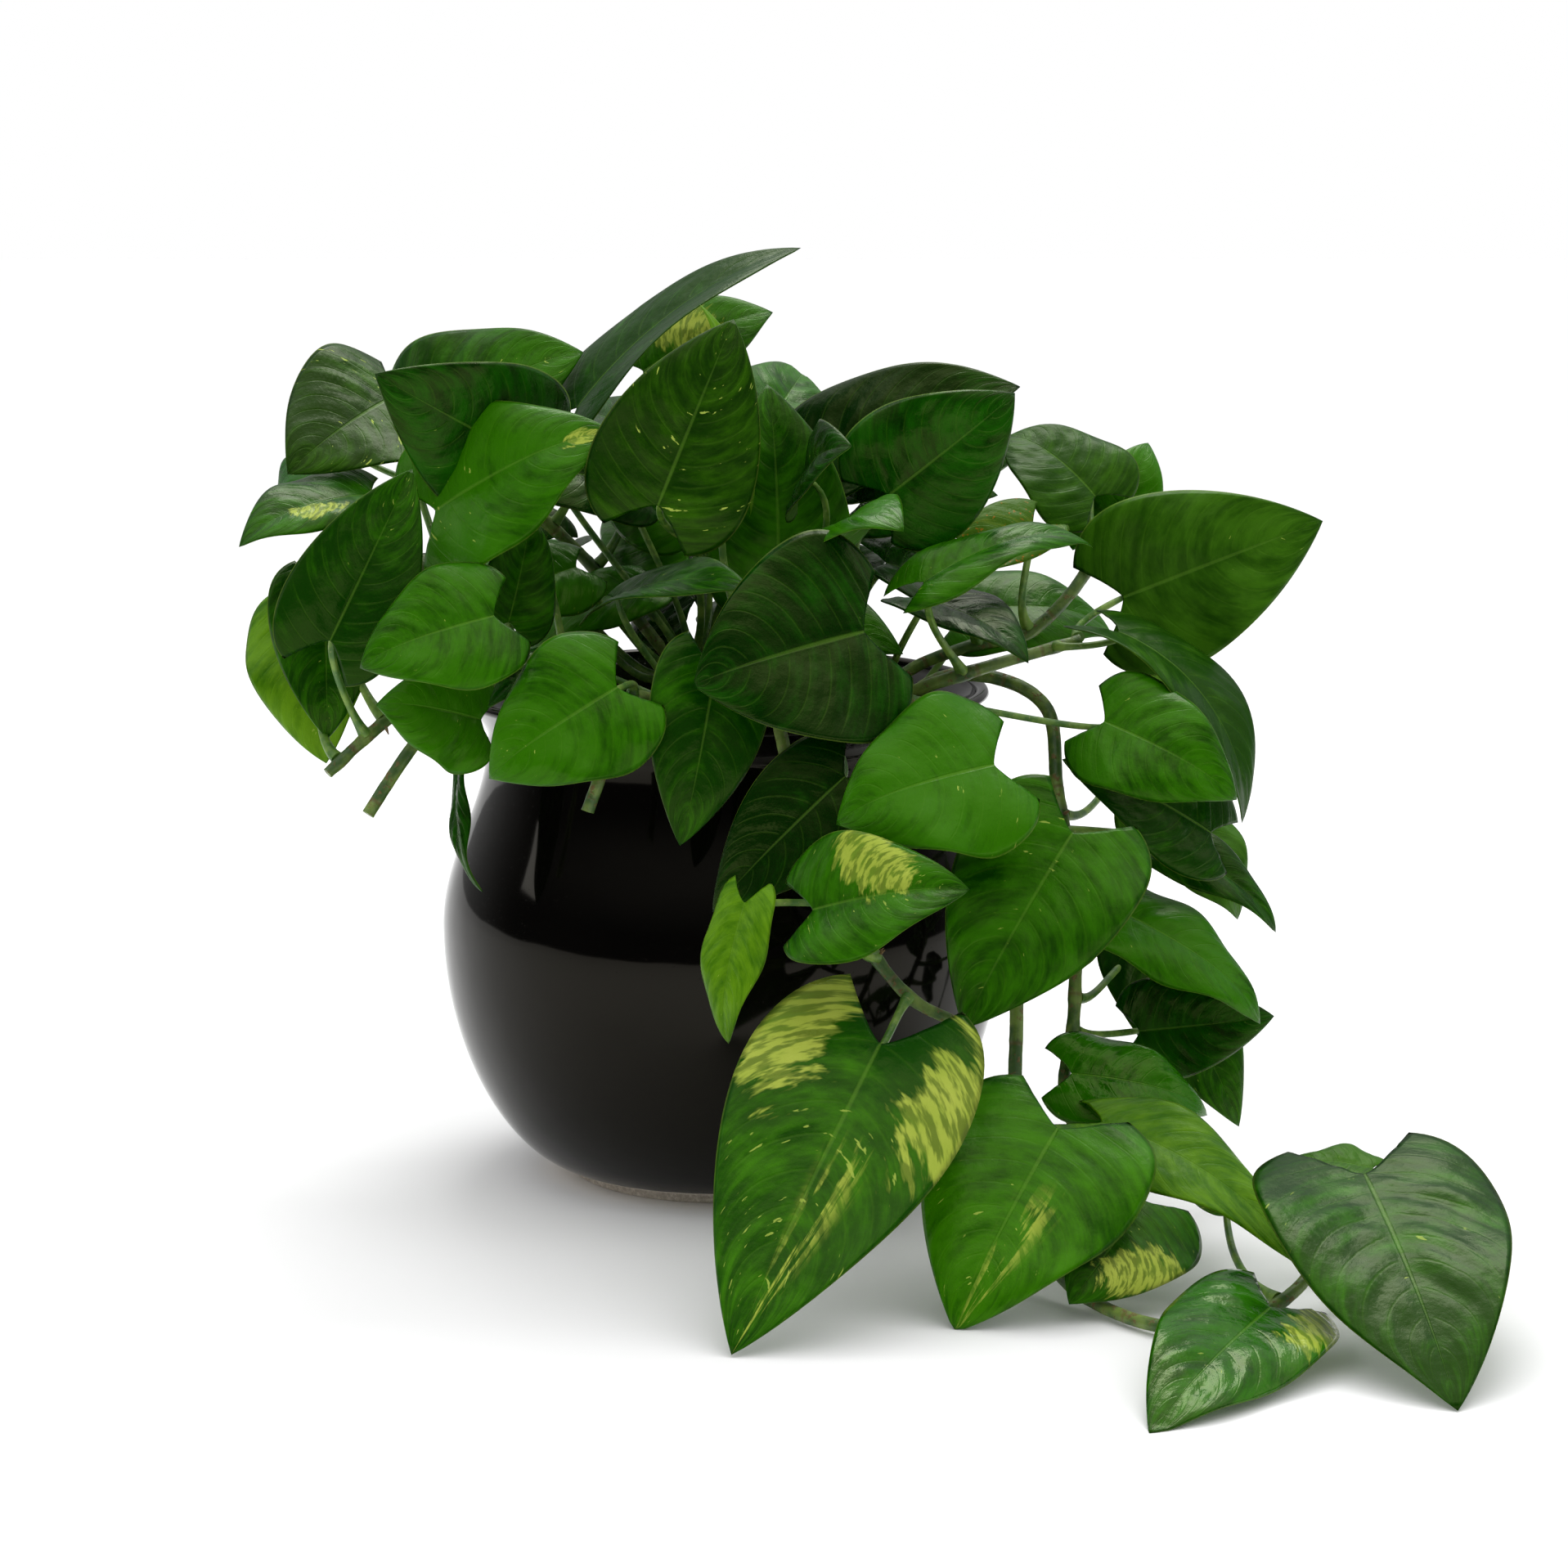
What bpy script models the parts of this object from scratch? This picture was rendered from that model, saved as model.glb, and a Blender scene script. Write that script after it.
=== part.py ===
"""Potted pothos: a round glazed pot, its mix, six vines and their leaves. Metres, +Z up.

The origin is the centre of the pot's foot, on the surface that the pot stands on.
+X is to the right and -Y is the front, the side that the longest vines trail to.
"""

import math

import bmesh
import bpy
from mathutils import Vector

# Driving dimensions of the pot, metres
POT_HEIGHT = 0.192
BELLY_RADIUS = 0.110
BELLY_HEIGHT = 0.098
BELLY_FULLNESS = 0.8
NECK_RADIUS = 0.832 * BELLY_RADIUS
NECK_DROP = 0.018
LIP_RADIUS = 0.945 * BELLY_RADIUS
LIP_ROUNDING = 0.0025
FOOT_RADIUS = 0.555 * BELLY_RADIUS
FOOT_HEIGHT = 0.004
FOOT_ROUNDING = 0.0008
WALL = 0.0055
FLOOR_THICKNESS = 0.012

# Driving dimensions of the plant, metres
MIX_DROP = 0.027
VINE_RADIUS = 0.0028
VINE_TAPER = 0.25
FORK_THICKNESS = 0.85
PETIOLE_RADIUS = 0.0015
BLADE_THICKNESS = 0.0008

# Clearance between pieces that touch, metres
GAP = 0.0003

# The foliage is laid out in centimetres round a pot of this height and belly, and follows them
CM = 0.01
LAYOUT_HEIGHT = 0.192
LAYOUT_BELLY = 0.110

# Fineness of the meshes
TURNS = 32
BELLY_STEPS = 6
BLADE_ROWS = 6
BLADE_ACROSS = (-1.0, -0.55, 0.0, 0.55, 1.0)
SPAN_STEPS = 2
PETIOLE_STEPS = 4

# Blade outline: how far the lobes reach back past the petiole, and the roundness of lobes and tip
LOBE_REACH = 0.18
LOBE_ONSET = 0.02
LOBE_POWER = 0.36
TIP_POWER = 0.95
OUTLINE_PEAK = 0.475
ROW_SPACING_POWER = 1.4

# Each half rises from the midrib by its lift, and flattens by this share towards the margin
MARGIN_EASE = 0.35

# Petiole: the shares of its span over which it leaves the vine and comes up under the blade
PETIOLE_LEAVING = 0.3
PETIOLE_ARRIVING = 0.35

# The rim flares from the neck as this power of the way up
FLARE_POWER = 1.6

mix_level = POT_HEIGHT - MIX_DROP

# Vines: the place on the mix where each is rooted, then its route, in centimetres
VINES = {
    "vine_left": (
        (-4.5, -3.5),
        [(-6.3, -4.0, 19.3), (-8.6, -4.9, 20.5), (-11.0, -6.3, 20.0), (-12.8, -7.6, 18.7), (-14.5, -8.5, 17.2)],
    ),
    "vine_centre": (
        (0.0, 1.0),
        [(0.5, 0.2, 20.0), (1.1, -0.8, 23.0), (1.2, -1.2, 26.0)],
    ),
    "vine_right": (
        (4.5, -3.0),
        [(7.0, -4.9, 19.5), (9.2, -5.7, 20.5), (11.1, -5.2, 21.0), (13.6, -4.5, 21.6)],
    ),
    "vine_hanging": (
        (5.6, -1.0),
        [(8.0, -2.8, 19.7), (10.4, -3.4, 20.0), (12.4, -4.2, 18.9), (12.7, -5.8, 16.2), (13.1, -7.2, 13.3),
         (13.3, -8.0, 10.4), (13.2, -9.0, 7.8), (12.8, -10.2, 5.6), (13.4, -12.0, 4.0), (14.6, -12.4, 3.5),
         (16.1, -11.4, 3.8)],
    ),
    "vine_trailing": (
        (3.4, -6.0),
        [(5.4, -8.0, 19.7), (7.2, -9.8, 20.0), (9.0, -10.7, 18.4), (10.2, -11.0, 15.0), (10.8, -11.3, 11.8),
         (10.9, -12.0, 8.9), (10.8, -13.4, 6.0), (11.0, -15.4, 3.6), (11.5, -17.2, 1.9), (12.4, -18.8, 0.8),
         (13.8, -20.8, 0.4), (15.6, -22.6, 0.4), (17.8, -22.6, 0.5), (19.8, -21.0, 0.9), (21.8, -18.6, 1.9),
         (23.8, -17.2, 2.6), (26.0, -16.6, 2.7), (27.9, -16.2, 2.9)],
    ),
    "vine_middle": (
        (0.2, -5.4),
        [(1.4, -8.0, 19.5), (2.0, -10.0, 20.2), (2.5, -11.5, 18.3), (3.7, -12.2, 14.8), (5.4, -13.4, 11.8),
         (7.0, -13.8, 9.9), (8.8, -13.6, 8.9)],
    ),
}

# Forks: the vine that each grows from, the share along it, then its route in centimetres
FORKS = {
    "fork_left": (
        "vine_left",
        0.10,
        [(-6.6, -6.0, 19.5), (-8.2, -7.5, 20.5), (-10.0, -8.4, 19.8), (-11.5, -9.0, 18.0), (-12.9, -9.8, 15.9)],
    ),
    "fork_back": (
        "vine_centre",
        0.15,
        [(-2.5, 1.6, 20.5), (-5.5, 1.8, 24.0), (-8.5, 0.5, 27.0)],
    ),
    "fork_right": (
        "vine_right",
        0.10,
        [(6.8, -1.2, 19.6), (9.3, -1.2, 20.8), (11.7, -1.5, 21.4), (13.5, -1.2, 23.0), (14.8, -0.5, 25.0)],
    ),
    "fork_front": (
        "vine_middle",
        0.05,
        [(-1.8, -7.4, 19.4), (-3.2, -9.6, 20.2), (-3.9, -11.3, 19.3), (-4.2, -12.2, 17.9), (-4.7, -12.4, 16.5)],
    ),
}

# Leaves: vine, share along it, blade base and tip in centimetres, the way the upper side looks,
# width / length, degrees that each half lifts, that the midrib bends and that the blade twists
LEAVES = {
    "leaf_top_spear": (
        "fork_back", 0.80, (-5.7, 2.0, 29.8), (3.0, 3.0, 36.2), (-0.5, -0.35, 0.8), 0.5, 15, 35, 0,
    ),
    "leaf_top_back": (
        "fork_back", 0.62, (-3.2, 5.0, 31.0), (1.8, 5.0, 33.8), (0.0, -0.7, 0.7), 0.9, 10, 15, 0,
    ),
    "leaf_centre_face": (
        "vine_centre", 0.9, (-2.2, -9.0, 27.2), (0.6, -8.0, 34.0), (0.1, -1, 0.3), 0.85, 12, 15, 0,
    ),
    "leaf_young": (
        "vine_middle", 0.22, (0.9, -7.2, 27.8), (0.1, -6.4, 34.6), (0.9, -0.6, 0.1), 0.35, 40, 12, 0,
    ),
    "leaf_centre_tall": (
        "vine_centre", 0.7, (2.2, -4.0, 23.7), (1.9, -3.0, 31.3), (0.2, -1, 0.3), 0.8, 18, 20, 0,
    ),
    "leaf_top_right": (
        "vine_centre", 0.8, (3.7, 1.0, 28.1), (11.5, 0.0, 31.0), (0, -0.75, 0.65), 0.65, 10, 30, 0,
    ),
    "leaf_right_heart": (
        "fork_right", 0.45, (6.3, -5.5, 27.2), (11.0, -6.0, 31.0), (0.1, -1, 0.1), 0.95, 8, 10, 0,
    ),
    "leaf_right_arch": (
        "fork_right", 1.0, (14.5, 0.6, 26.5), (11.0, 3.0, 29.0), (0.2, -0.7, 0.7), 1.05, 8, 40, 0,
    ),
    "leaf_right_back": (
        "fork_right", 0.9, (15.0, 2.5, 24.5), (17.0, 3.5, 28.6), (0.2, -0.8, 0.5), 0.8, 8, 20, 0,
    ),
    "leaf_right_big": (
        "vine_right", 1.0, (15.4, -2.0, 22.9), (22.9, -3.0, 26.0), (0.1, -1, 0.25), 0.85, 8, 12, 0,
    ),
    "leaf_right_hood": (
        "vine_right", 0.92, (15.0, -5.0, 22.0), (19.9, -7.5, 15.1), (0.6, -0.4, 0.7), 0.6, 15, 70, 0,
    ),
    "leaf_right_lobe": (
        "vine_trailing", 0.13, (14.2, -8.8, 19.2), (19.1, -11.0, 16.9), (0.1, -0.9, 0.4), 0.85, 10, 30, 0,
    ),
    "leaf_right_under": (
        "vine_hanging", 0.42, (16.0, 0.0, 16.2), (17.2, 1.0, 20.0), (0.3, -0.9, 0.2), 0.7, 10, 20, 0,
    ),
    "leaf_spotted": (
        "fork_right", 0.62, (11.9, -2.8, 25.8), (7.9, -6.0, 23.5), (-0.3, -0.8, 0.5), 0.6, 25, 20, 30,
    ),
    "leaf_ribbon": (
        "vine_right", 0.55, (7.5, -9.0, 24.4), (14.2, -5.6, 26.0), (0.0, -0.4, 0.9), 0.4, 20, 40, 0,
    ),
    "leaf_front_heart": (
        "vine_middle", 0.25, (5.3, -11.3, 22.9), (-0.9, -12.9, 21.3), (0, -0.9, 0.4), 1.25, 8, 20, 0,
    ),
    "leaf_front_kite": (
        "vine_trailing", 0.21, (9.9, -14.0, 18.5), (4.1, -15.3, 17.0), (0, -0.8, 0.6), 1.1, 8, 20, 0,
    ),
    "leaf_front_big": (
        "vine_trailing", 0.27, (12.8, -12.8, 15.8), (8.7, -15.4, 9.2), (-0.1, -0.9, 0.45), 0.85, 8, 20, 0,
    ),
    "leaf_right_kite": (
        "vine_hanging", 0.44, (18.4, -7.2, 14.7), (12.8, -8.8, 17.9), (-0.1, -0.8, 0.6), 0.65, 8, 20, 0,
    ),
    "leaf_right_round": (
        "vine_hanging", 0.50, (16.9, -1.8, 14.9), (20.5, -3.4, 10.8), (0.5, -0.7, 0.6), 0.9, 8, 30, 0,
    ),
    "leaf_right_curl": (
        "vine_hanging", 0.54, (16.2, -5.0, 13.9), (21.4, -6.4, 10.9), (0.2, -0.6, 0.8), 0.5, 20, 50, 0,
    ),
    "leaf_right_strap": (
        "vine_hanging", 0.58, (14.7, -8.0, 12.0), (20.8, -9.0, 8.3), (0.2, -0.6, 0.8), 0.6, 12, 20, 0,
    ),
    "leaf_right_shell": (
        "vine_hanging", 0.66, (15.9, -6.5, 6.9), (20.8, -8.0, 7.8), (0, -1, 0.2), 0.8, 15, 20, 0,
    ),
    "leaf_right_behind": (
        "vine_hanging", 0.62, (16.4, -3.0, 9.2), (20.2, -4.5, 2.6), (0.2, -0.8, 0.5), 0.6, 8, 20, 0,
    ),
    "leaf_low_oval": (
        "vine_hanging", 0.76, (13.0, -11.0, 6.4), (18.6, -10.5, 5.1), (0, -0.7, 0.7), 0.7, 10, 25, 0,
    ),
    "leaf_low_strap": (
        "vine_hanging", 0.86, (13.9, -13.8, 5.3), (21.1, -17.4, 1.3), (0.2, -0.5, 0.85), 0.5, 10, 40, 0,
    ),
    "leaf_variegated": (
        "vine_middle", 0.86, (5.8, -17.3, 9.1), (0.6, -25.0, 0.3), (-0.1, -0.85, 0.5), 0.66, 8, 10, 0,
    ),
    "leaf_low_heart": (
        "vine_trailing", 0.50, (12.1, -17.2, 6.0), (8.2, -22.4, 0.4), (-0.1, -0.8, 0.6), 0.95, 8, 20, 0,
    ),
    "leaf_low_small": (
        "vine_trailing", 0.58, (15.2, -17.8, 3.5), (12.4, -21.6, 1.1), (0.1, -0.85, 0.5), 1.05, 8, 15, 0,
    ),
    "leaf_low_yellow": (
        "vine_trailing", 0.78, (18.6, -13.8, 2.6), (16.7, -13.0, 5.0), (0.2, -0.9, 0.4), 0.7, 8, 15, 0,
    ),
    "leaf_ground_gloss": (
        "vine_trailing", 0.70, (18.9, -24.4, 1.7), (14.2, -32.6, 0.5), (0.1, -0.4, 0.9), 0.58, 10, 10, 0,
    ),
    "leaf_ground_big": (
        "vine_trailing", 0.86, (22.7, -19.2, 4.9), (24.3, -30.5, 0.4), (0.05, -0.85, 0.5), 0.7, 8, 15, 0,
    ),
    "leaf_ground_back": (
        "vine_trailing", 0.94, (23.7, -14.6, 3.8), (20.0, -13.6, 3.9), (0, -0.3, 1), 0.8, 8, 15, 0,
    ),
    "leaf_middle_curl": (
        "vine_middle", 0.76, (3.4, -16.3, 13.7), (8.8, -17.8, 15.0), (0.1, -0.8, 0.6), 0.95, 25, 20, 0,
    ),
    "leaf_middle_dark": (
        "vine_middle", 0.36, (4.6, -13.0, 17.9), (-0.3, -13.0, 12.9), (-0.1, -0.9, 0.4), 0.65, 8, 20, 0,
    ),
    "leaf_middle_flag": (
        "vine_middle", 0.66, (1.0, -16.0, 13.9), (0.0, -17.2, 9.0), (-0.5, -0.8, 0.3), 0.55, 15, 20, 0,
    ),
    "leaf_front_drop": (
        "vine_middle", 0.28, (-0.1, -11.0, 21.5), (-1.3, -12.6, 15.2), (0.2, -0.9, 0.3), 0.7, 15, 20, 0,
    ),
    "leaf_front_left": (
        "fork_front", 0.4, (-3.6, -12.1, 21.0), (-8.4, -13.2, 18.0), (0, -0.9, 0.4), 1.0, 8, 15, 0,
    ),
    "leaf_front_slip": (
        "fork_front", 0.22, (-4.9, -8.9, 21.8), (-8.4, -11.6, 20.6), (-0.2, -0.7, 0.7), 0.6, 15, 25, 0,
    ),
    "leaf_front_roof": (
        "fork_front", 0.1, (-4.0, -6.4, 23.4), (1.2, -11.5, 24.7), (0, -0.5, 0.85), 0.5, 15, 30, 0,
    ),
    "leaf_left_wing": (
        "fork_left", 0.3, (-8.1, -10.7, 23.4), (-13.0, -12.0, 22.0), (0, -0.85, 0.5), 1.0, 12, 15, 0,
    ),
    "leaf_left_upright": (
        "fork_left", 0.36, (-7.8, -7.5, 22.7), (-6.9, -6.4, 26.8), (0.4, -0.9, 0.3), 0.8, 25, 15, 0,
    ),
    "leaf_left_round": (
        "fork_left", 0.5, (-8.7, -9.6, 19.4), (-12.3, -10.8, 20.4), (0, -0.9, 0.4), 1.1, 10, 20, 0,
    ),
    "leaf_left_dangle": (
        "vine_left", 0.62, (-9.7, -6.6, 17.3), (-9.5, -8.6, 12.6), (-0.9, -0.4, 0.1), 0.35, 25, 20, 0,
    ),
    "leaf_left_shoulder": (
        "vine_left", 0.5, (-12.4, -1.2, 30.6), (-16.0, -6.0, 28.3), (-0.1, -1, 0.4), 1.0, 8, 20, 0,
    ),
    "leaf_left_back": (
        "fork_back", 0.92, (-15.2, 5.6, 28.2), (-17.5, 1.6, 25.6), (-0.5, -0.7, 0.5), 0.8, 8, 20, 0,
    ),
    "leaf_left_ledge": (
        "vine_left", 0.6, (-13.0, -5.2, 27.2), (-17.6, -9.0, 26.2), (-0.2, -0.6, 0.8), 0.75, 15, 25, 0,
    ),
    "leaf_left_fold": (
        "vine_left", 0.85, (-14.2, -9.5, 22.3), (-11.2, -8.0, 28.5), (0.2, -0.9, 0.3), 0.75, 25, 15, 0,
    ),
    "leaf_left_pale": (
        "vine_left", 0.95, (-15.8, -2.5, 22.4), (-15.2, -5.0, 17.0), (-0.2, -0.9, 0.3), 0.9, 10, 20, 0,
    ),
    "leaf_left_droop": (
        "vine_left", 0.78, (-14.8, -5.6, 23.8), (-14.6, -7.5, 18.3), (0.1, -0.9, 0.3), 0.75, 12, 20, 0,
    ),
    "leaf_upper_left": (
        "vine_left", 0.41, (-10.5, -7.0, 26.8), (-4.1, -8.5, 30.3), (0, -0.85, 0.6), 0.9, 12, 20, 0,
    ),
    "leaf_top_left": (
        "fork_back", 0.85, (-12.1, 3.6, 28.7), (-5.6, 2.6, 32.3), (-0.1, -0.8, 0.6), 0.95, 8, 25, 0,
    ),
}

collection = bpy.data.collections.new("potted_pothos")
cutters = bpy.data.collections.new("cutters")


def clear_scene():
    for item in list(bpy.data.objects):
        bpy.data.objects.remove(item)
    bpy.context.scene.collection.children.link(collection)
    bpy.context.scene.collection.children.link(cutters)


def make_material(name, color, roughness, metallic=0.0):
    material = bpy.data.materials.new(name)
    material.use_nodes = True
    shader = material.node_tree.nodes["Principled BSDF"]
    shader.inputs["Base Color"].default_value = (*color, 1.0)
    shader.inputs["Roughness"].default_value = roughness
    shader.inputs["Metallic"].default_value = metallic
    material.diffuse_color = (*color, 1.0)
    return material


def add_object(name, mesh, material, group=collection):
    item = bpy.data.objects.new(name, mesh)
    mesh.materials.append(material)
    group.objects.link(item)
    return item


def laid_out(x, y, z):
    """A layout point in centimetres as a place in metres that follows the pot."""
    across = BELLY_RADIUS / LAYOUT_BELLY
    upward = POT_HEIGHT / LAYOUT_HEIGHT
    return Vector((x * across, y * across, z * upward)) * CM


# Pot and mix


def outer_radius(height):
    """Radius of the pot's outer side at a height, from the foot to under the lip."""
    neck_height = POT_HEIGHT - NECK_DROP
    if height > neck_height:
        share = (height - neck_height) / (NECK_DROP - LIP_ROUNDING)
        return NECK_RADIUS + (LIP_RADIUS - NECK_RADIUS) * min(share, 1.0) ** FLARE_POWER
    if height > BELLY_HEIGHT:
        share = (height - BELLY_HEIGHT) / (neck_height - BELLY_HEIGHT)
        return NECK_RADIUS + (BELLY_RADIUS - NECK_RADIUS) * (0.5 + 0.5 * math.cos(math.pi * share))
    drop = min((BELLY_HEIGHT - height) / (BELLY_HEIGHT - FOOT_HEIGHT), 1.0)
    round_share = 1 - math.sqrt(1 - drop * drop)
    inset = BELLY_FULLNESS * round_share + (1 - BELLY_FULLNESS) * drop * drop
    return BELLY_RADIUS - (BELLY_RADIUS - FOOT_RADIUS - GAP) * inset


def side_heights():
    """Heights of the profile's points, close together where the side turns fast."""
    lower = [
        BELLY_HEIGHT - (BELLY_HEIGHT - FOOT_HEIGHT) * math.sin(math.radians(90 * step / BELLY_STEPS))
        for step in range(BELLY_STEPS, 0, -1)
    ]
    neck_height = POT_HEIGHT - NECK_DROP
    upper = [
        BELLY_HEIGHT + (neck_height - BELLY_HEIGHT) * step / BELLY_STEPS for step in range(BELLY_STEPS + 1)
    ]
    flare = [neck_height + (NECK_DROP - LIP_ROUNDING) * share for share in (0.3, 0.6, 0.85, 1.0)]
    return sorted({*lower, *upper, *flare, FLOOR_THICKNESS, mix_level})


def turned(name, profile, material):
    """A closed turned body from a profile that starts and ends on the axis."""
    mesh = bpy.data.meshes.new(name)
    points = [(radius, 0.0, height) for radius, height in profile]
    edges = [(i, i + 1) for i in range(len(points) - 1)]
    mesh.from_pydata(points, edges, [])
    item = add_object(name, mesh, material)
    screw = item.modifiers.new("Turn", "SCREW")
    screw.angle = math.tau
    screw.steps = TURNS
    screw.render_steps = TURNS
    screw.use_merge_vertices = True
    screw.merge_threshold = 0.00001
    screw.use_smooth_shade = True
    return item


def make_pot(material):
    heights = side_heights()
    inside = [(0.0, FLOOR_THICKNESS)]
    inside += [(outer_radius(h) - WALL, h) for h in heights if h >= FLOOR_THICKNESS]
    rounding = [
        (LIP_RADIUS - WALL + 0.3 * LIP_ROUNDING, POT_HEIGHT - 0.3 * LIP_ROUNDING),
        (LIP_RADIUS - 0.5 * WALL, POT_HEIGHT),
        (LIP_RADIUS - 0.3 * LIP_ROUNDING, POT_HEIGHT - 0.3 * LIP_ROUNDING),
    ]
    outside = [(outer_radius(h), h) for h in reversed(heights)]
    foot = [(FOOT_RADIUS, FOOT_ROUNDING), (FOOT_RADIUS - FOOT_ROUNDING, 0.0), (0.0, 0.0)]
    return turned("pot", inside + rounding + outside + foot, material)


def make_mix(material):
    """The fill: it follows the pot's inside from the floor to its own level."""
    heights = [h for h in side_heights() if FLOOR_THICKNESS < h <= mix_level]
    base_radius = outer_radius(FLOOR_THICKNESS) - WALL - GAP
    profile = [(0.0, mix_level)]
    profile += [(outer_radius(h) - WALL - GAP, h) for h in reversed(heights)]
    profile += [(base_radius, FLOOR_THICKNESS + GAP), (0.0, FLOOR_THICKNESS + GAP)]
    return turned("potting_mix", profile, material)


# Vines


def smooth_route(knots, steps=SPAN_STEPS):
    """Points of a smooth curve through the knots (Catmull-Rom)."""
    ends = [2 * knots[0] - knots[1], *knots, 2 * knots[-1] - knots[-2]]
    route = []
    for a, b, c, d in zip(ends, ends[1:], ends[2:], ends[3:]):
        for step in range(steps):
            t = step / steps
            route.append(
                0.5 * (2 * b + (c - a) * t + (2 * a - 5 * b + 4 * c - d) * t**2 + (3 * b - 3 * c + d - a) * t**3)
            )
    route.append(knots[-1])
    return route


def tube(name, points, radii, material, group=collection):
    """A closed mesh tube along points, from a curve with a bevel and filled caps."""
    curve = bpy.data.curves.new(name, "CURVE")
    curve.dimensions = "3D"
    curve.bevel_depth = 1.0
    curve.bevel_resolution = 1
    curve.use_fill_caps = True
    spline = curve.splines.new("POLY")
    spline.points.add(len(points) - 1)
    for knot, place, radius in zip(spline.points, points, radii):
        knot.co = (*place, 1.0)
        knot.radius = radius
    guide = bpy.data.objects.new(name + "_guide", curve)
    cutters.objects.link(guide)
    bpy.context.view_layer.update()
    mesh = bpy.data.meshes.new_from_object(guide.evaluated_get(bpy.context.evaluated_depsgraph_get()))
    bpy.data.objects.remove(guide)
    shape = bmesh.new()
    shape.from_mesh(mesh)
    bmesh.ops.remove_doubles(shape, verts=shape.verts, dist=0.00001)
    bmesh.ops.recalc_face_normals(shape, faces=shape.faces)
    shape.to_mesh(mesh)
    shape.free()
    mesh.shade_smooth()
    return add_object(name, mesh, material, group)


def vine_route(name):
    """The centre line of a vine from the mix, or of a fork from inside its vine, to its end."""
    if name in FORKS:
        vine, share, knots = FORKS[name]
        first, _ = on_vine(vine, share)
        return smooth_route([first, *(laid_out(*knot) for knot in knots)])
    (root_x, root_y), knots = VINES[name]
    root = laid_out(root_x, root_y, 0)
    root.z = mix_level + GAP
    above = root + Vector((0, 0, 1.5 * VINE_RADIUS))
    return [root, *smooth_route([above, *(laid_out(*knot) for knot in knots)])]


def on_vine(name, share):
    """Place and direction of the vine at a share of its route."""
    route = vine_route(name)
    position = share * (len(route) - 1)
    index = min(int(position), len(route) - 2)
    place = route[index].lerp(route[index + 1], position - index)
    return place, (route[index + 1] - route[index]).normalized()


def make_vine(name, material):
    route = vine_route(name)
    last = len(route) - 1
    radii = [VINE_RADIUS * (1.0 - VINE_TAPER * index / last) for index in range(last + 1)]
    vine = tube(name, route, radii, material)
    for fork, (parent, _, _) in FORKS.items():
        if parent == name:
            branch_route = vine_route(fork)
            branch_radii = [FORK_THICKNESS * VINE_RADIUS] * len(branch_route)
            join(vine, tube(fork, branch_route, branch_radii, material, cutters))
    return vine


def join(body, piece):
    """Grow a helper piece into a body as one solid."""
    piece.hide_render = True
    piece.display_type = "WIRE"
    union = body.modifiers.new(piece.name, "BOOLEAN")
    union.operation = "UNION"
    union.solver = "EXACT"
    union.object = piece


# Leaves


def blade_frame(base, tip, facing):
    along = (tip - base).normalized()
    normal = (facing - facing.dot(along) * along).normalized()
    side = normal.cross(along)
    return along, side, normal


def outline(share):
    """Half width of the blade at a share of its length, 1 at its widest."""
    return (share + LOBE_ONSET) ** LOBE_POWER * (1 - share) ** TIP_POWER / OUTLINE_PEAK


def blade_point(base, tip, frame, width, lift, bend, twist, share, across):
    """A point of the blade's middle surface: share runs from petiole to tip, across from -1 to 1."""
    along, side, normal = frame
    length = (tip - base).length
    share_swept = share - LOBE_REACH * (1 - share) ** 2 * abs(across) ** 1.3
    half_width = 0.5 * width * length * outline(share)
    offset = across * half_width
    angle = math.radians(bend) * (share_swept - 0.5)
    if abs(bend) > 1:
        radius = length / (2 * math.sin(math.radians(bend) / 2))
        run = radius * math.sin(angle) + 0.5 * length
        rise = radius * (math.cos(angle) - math.cos(math.radians(bend) / 2))
    else:
        run = share_swept * length
        rise = 0.0
    up = (math.cos(angle) * normal + math.sin(angle) * along).normalized()
    roll = math.radians(twist) * (share - 0.3)
    outward = math.cos(roll) * side + math.sin(roll) * up
    up = math.cos(roll) * up - math.sin(roll) * side
    raised = abs(offset) * math.sin(math.radians(lift)) * (1 - MARGIN_EASE * abs(across))
    return base + run * along + rise * normal + offset * math.cos(math.radians(lift)) * outward + raised * up


def make_blade(name, base, tip, frame, width, lift, bend, twist, material):
    """The blade: an open surface of rows from the lobes to the tip, given its thickness by Solidify."""
    rows = [(row / BLADE_ROWS) ** ROW_SPACING_POWER for row in range(BLADE_ROWS)]
    points = [
        blade_point(base, tip, frame, width, lift, bend, twist, share, across)
        for share in rows
        for across in BLADE_ACROSS
    ]
    points.append(tip)
    count = len(BLADE_ACROSS)
    faces = []
    for row in range(BLADE_ROWS - 1):
        for column in range(count - 1):
            first = row * count + column
            faces.append((first, first + count, first + count + 1, first + 1))
    last = (BLADE_ROWS - 1) * count
    for column in range(count - 1):
        faces.append((last + column, len(points) - 1, last + column + 1))
    mesh = bpy.data.meshes.new(name)
    mesh.from_pydata(points, [], faces)
    mesh.shade_smooth()
    leaf = add_object(name, mesh, material)
    thickness = leaf.modifiers.new("Thickness", "SOLIDIFY")
    thickness.thickness = BLADE_THICKNESS
    thickness.offset = 0.0
    return leaf


def bezier(a, b, c, d, steps):
    points = []
    for step in range(steps + 1):
        t = step / steps
        points.append((1 - t) ** 3 * a + 3 * (1 - t) ** 2 * t * b + 3 * (1 - t) * t**2 * c + t**3 * d)
    return points


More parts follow.
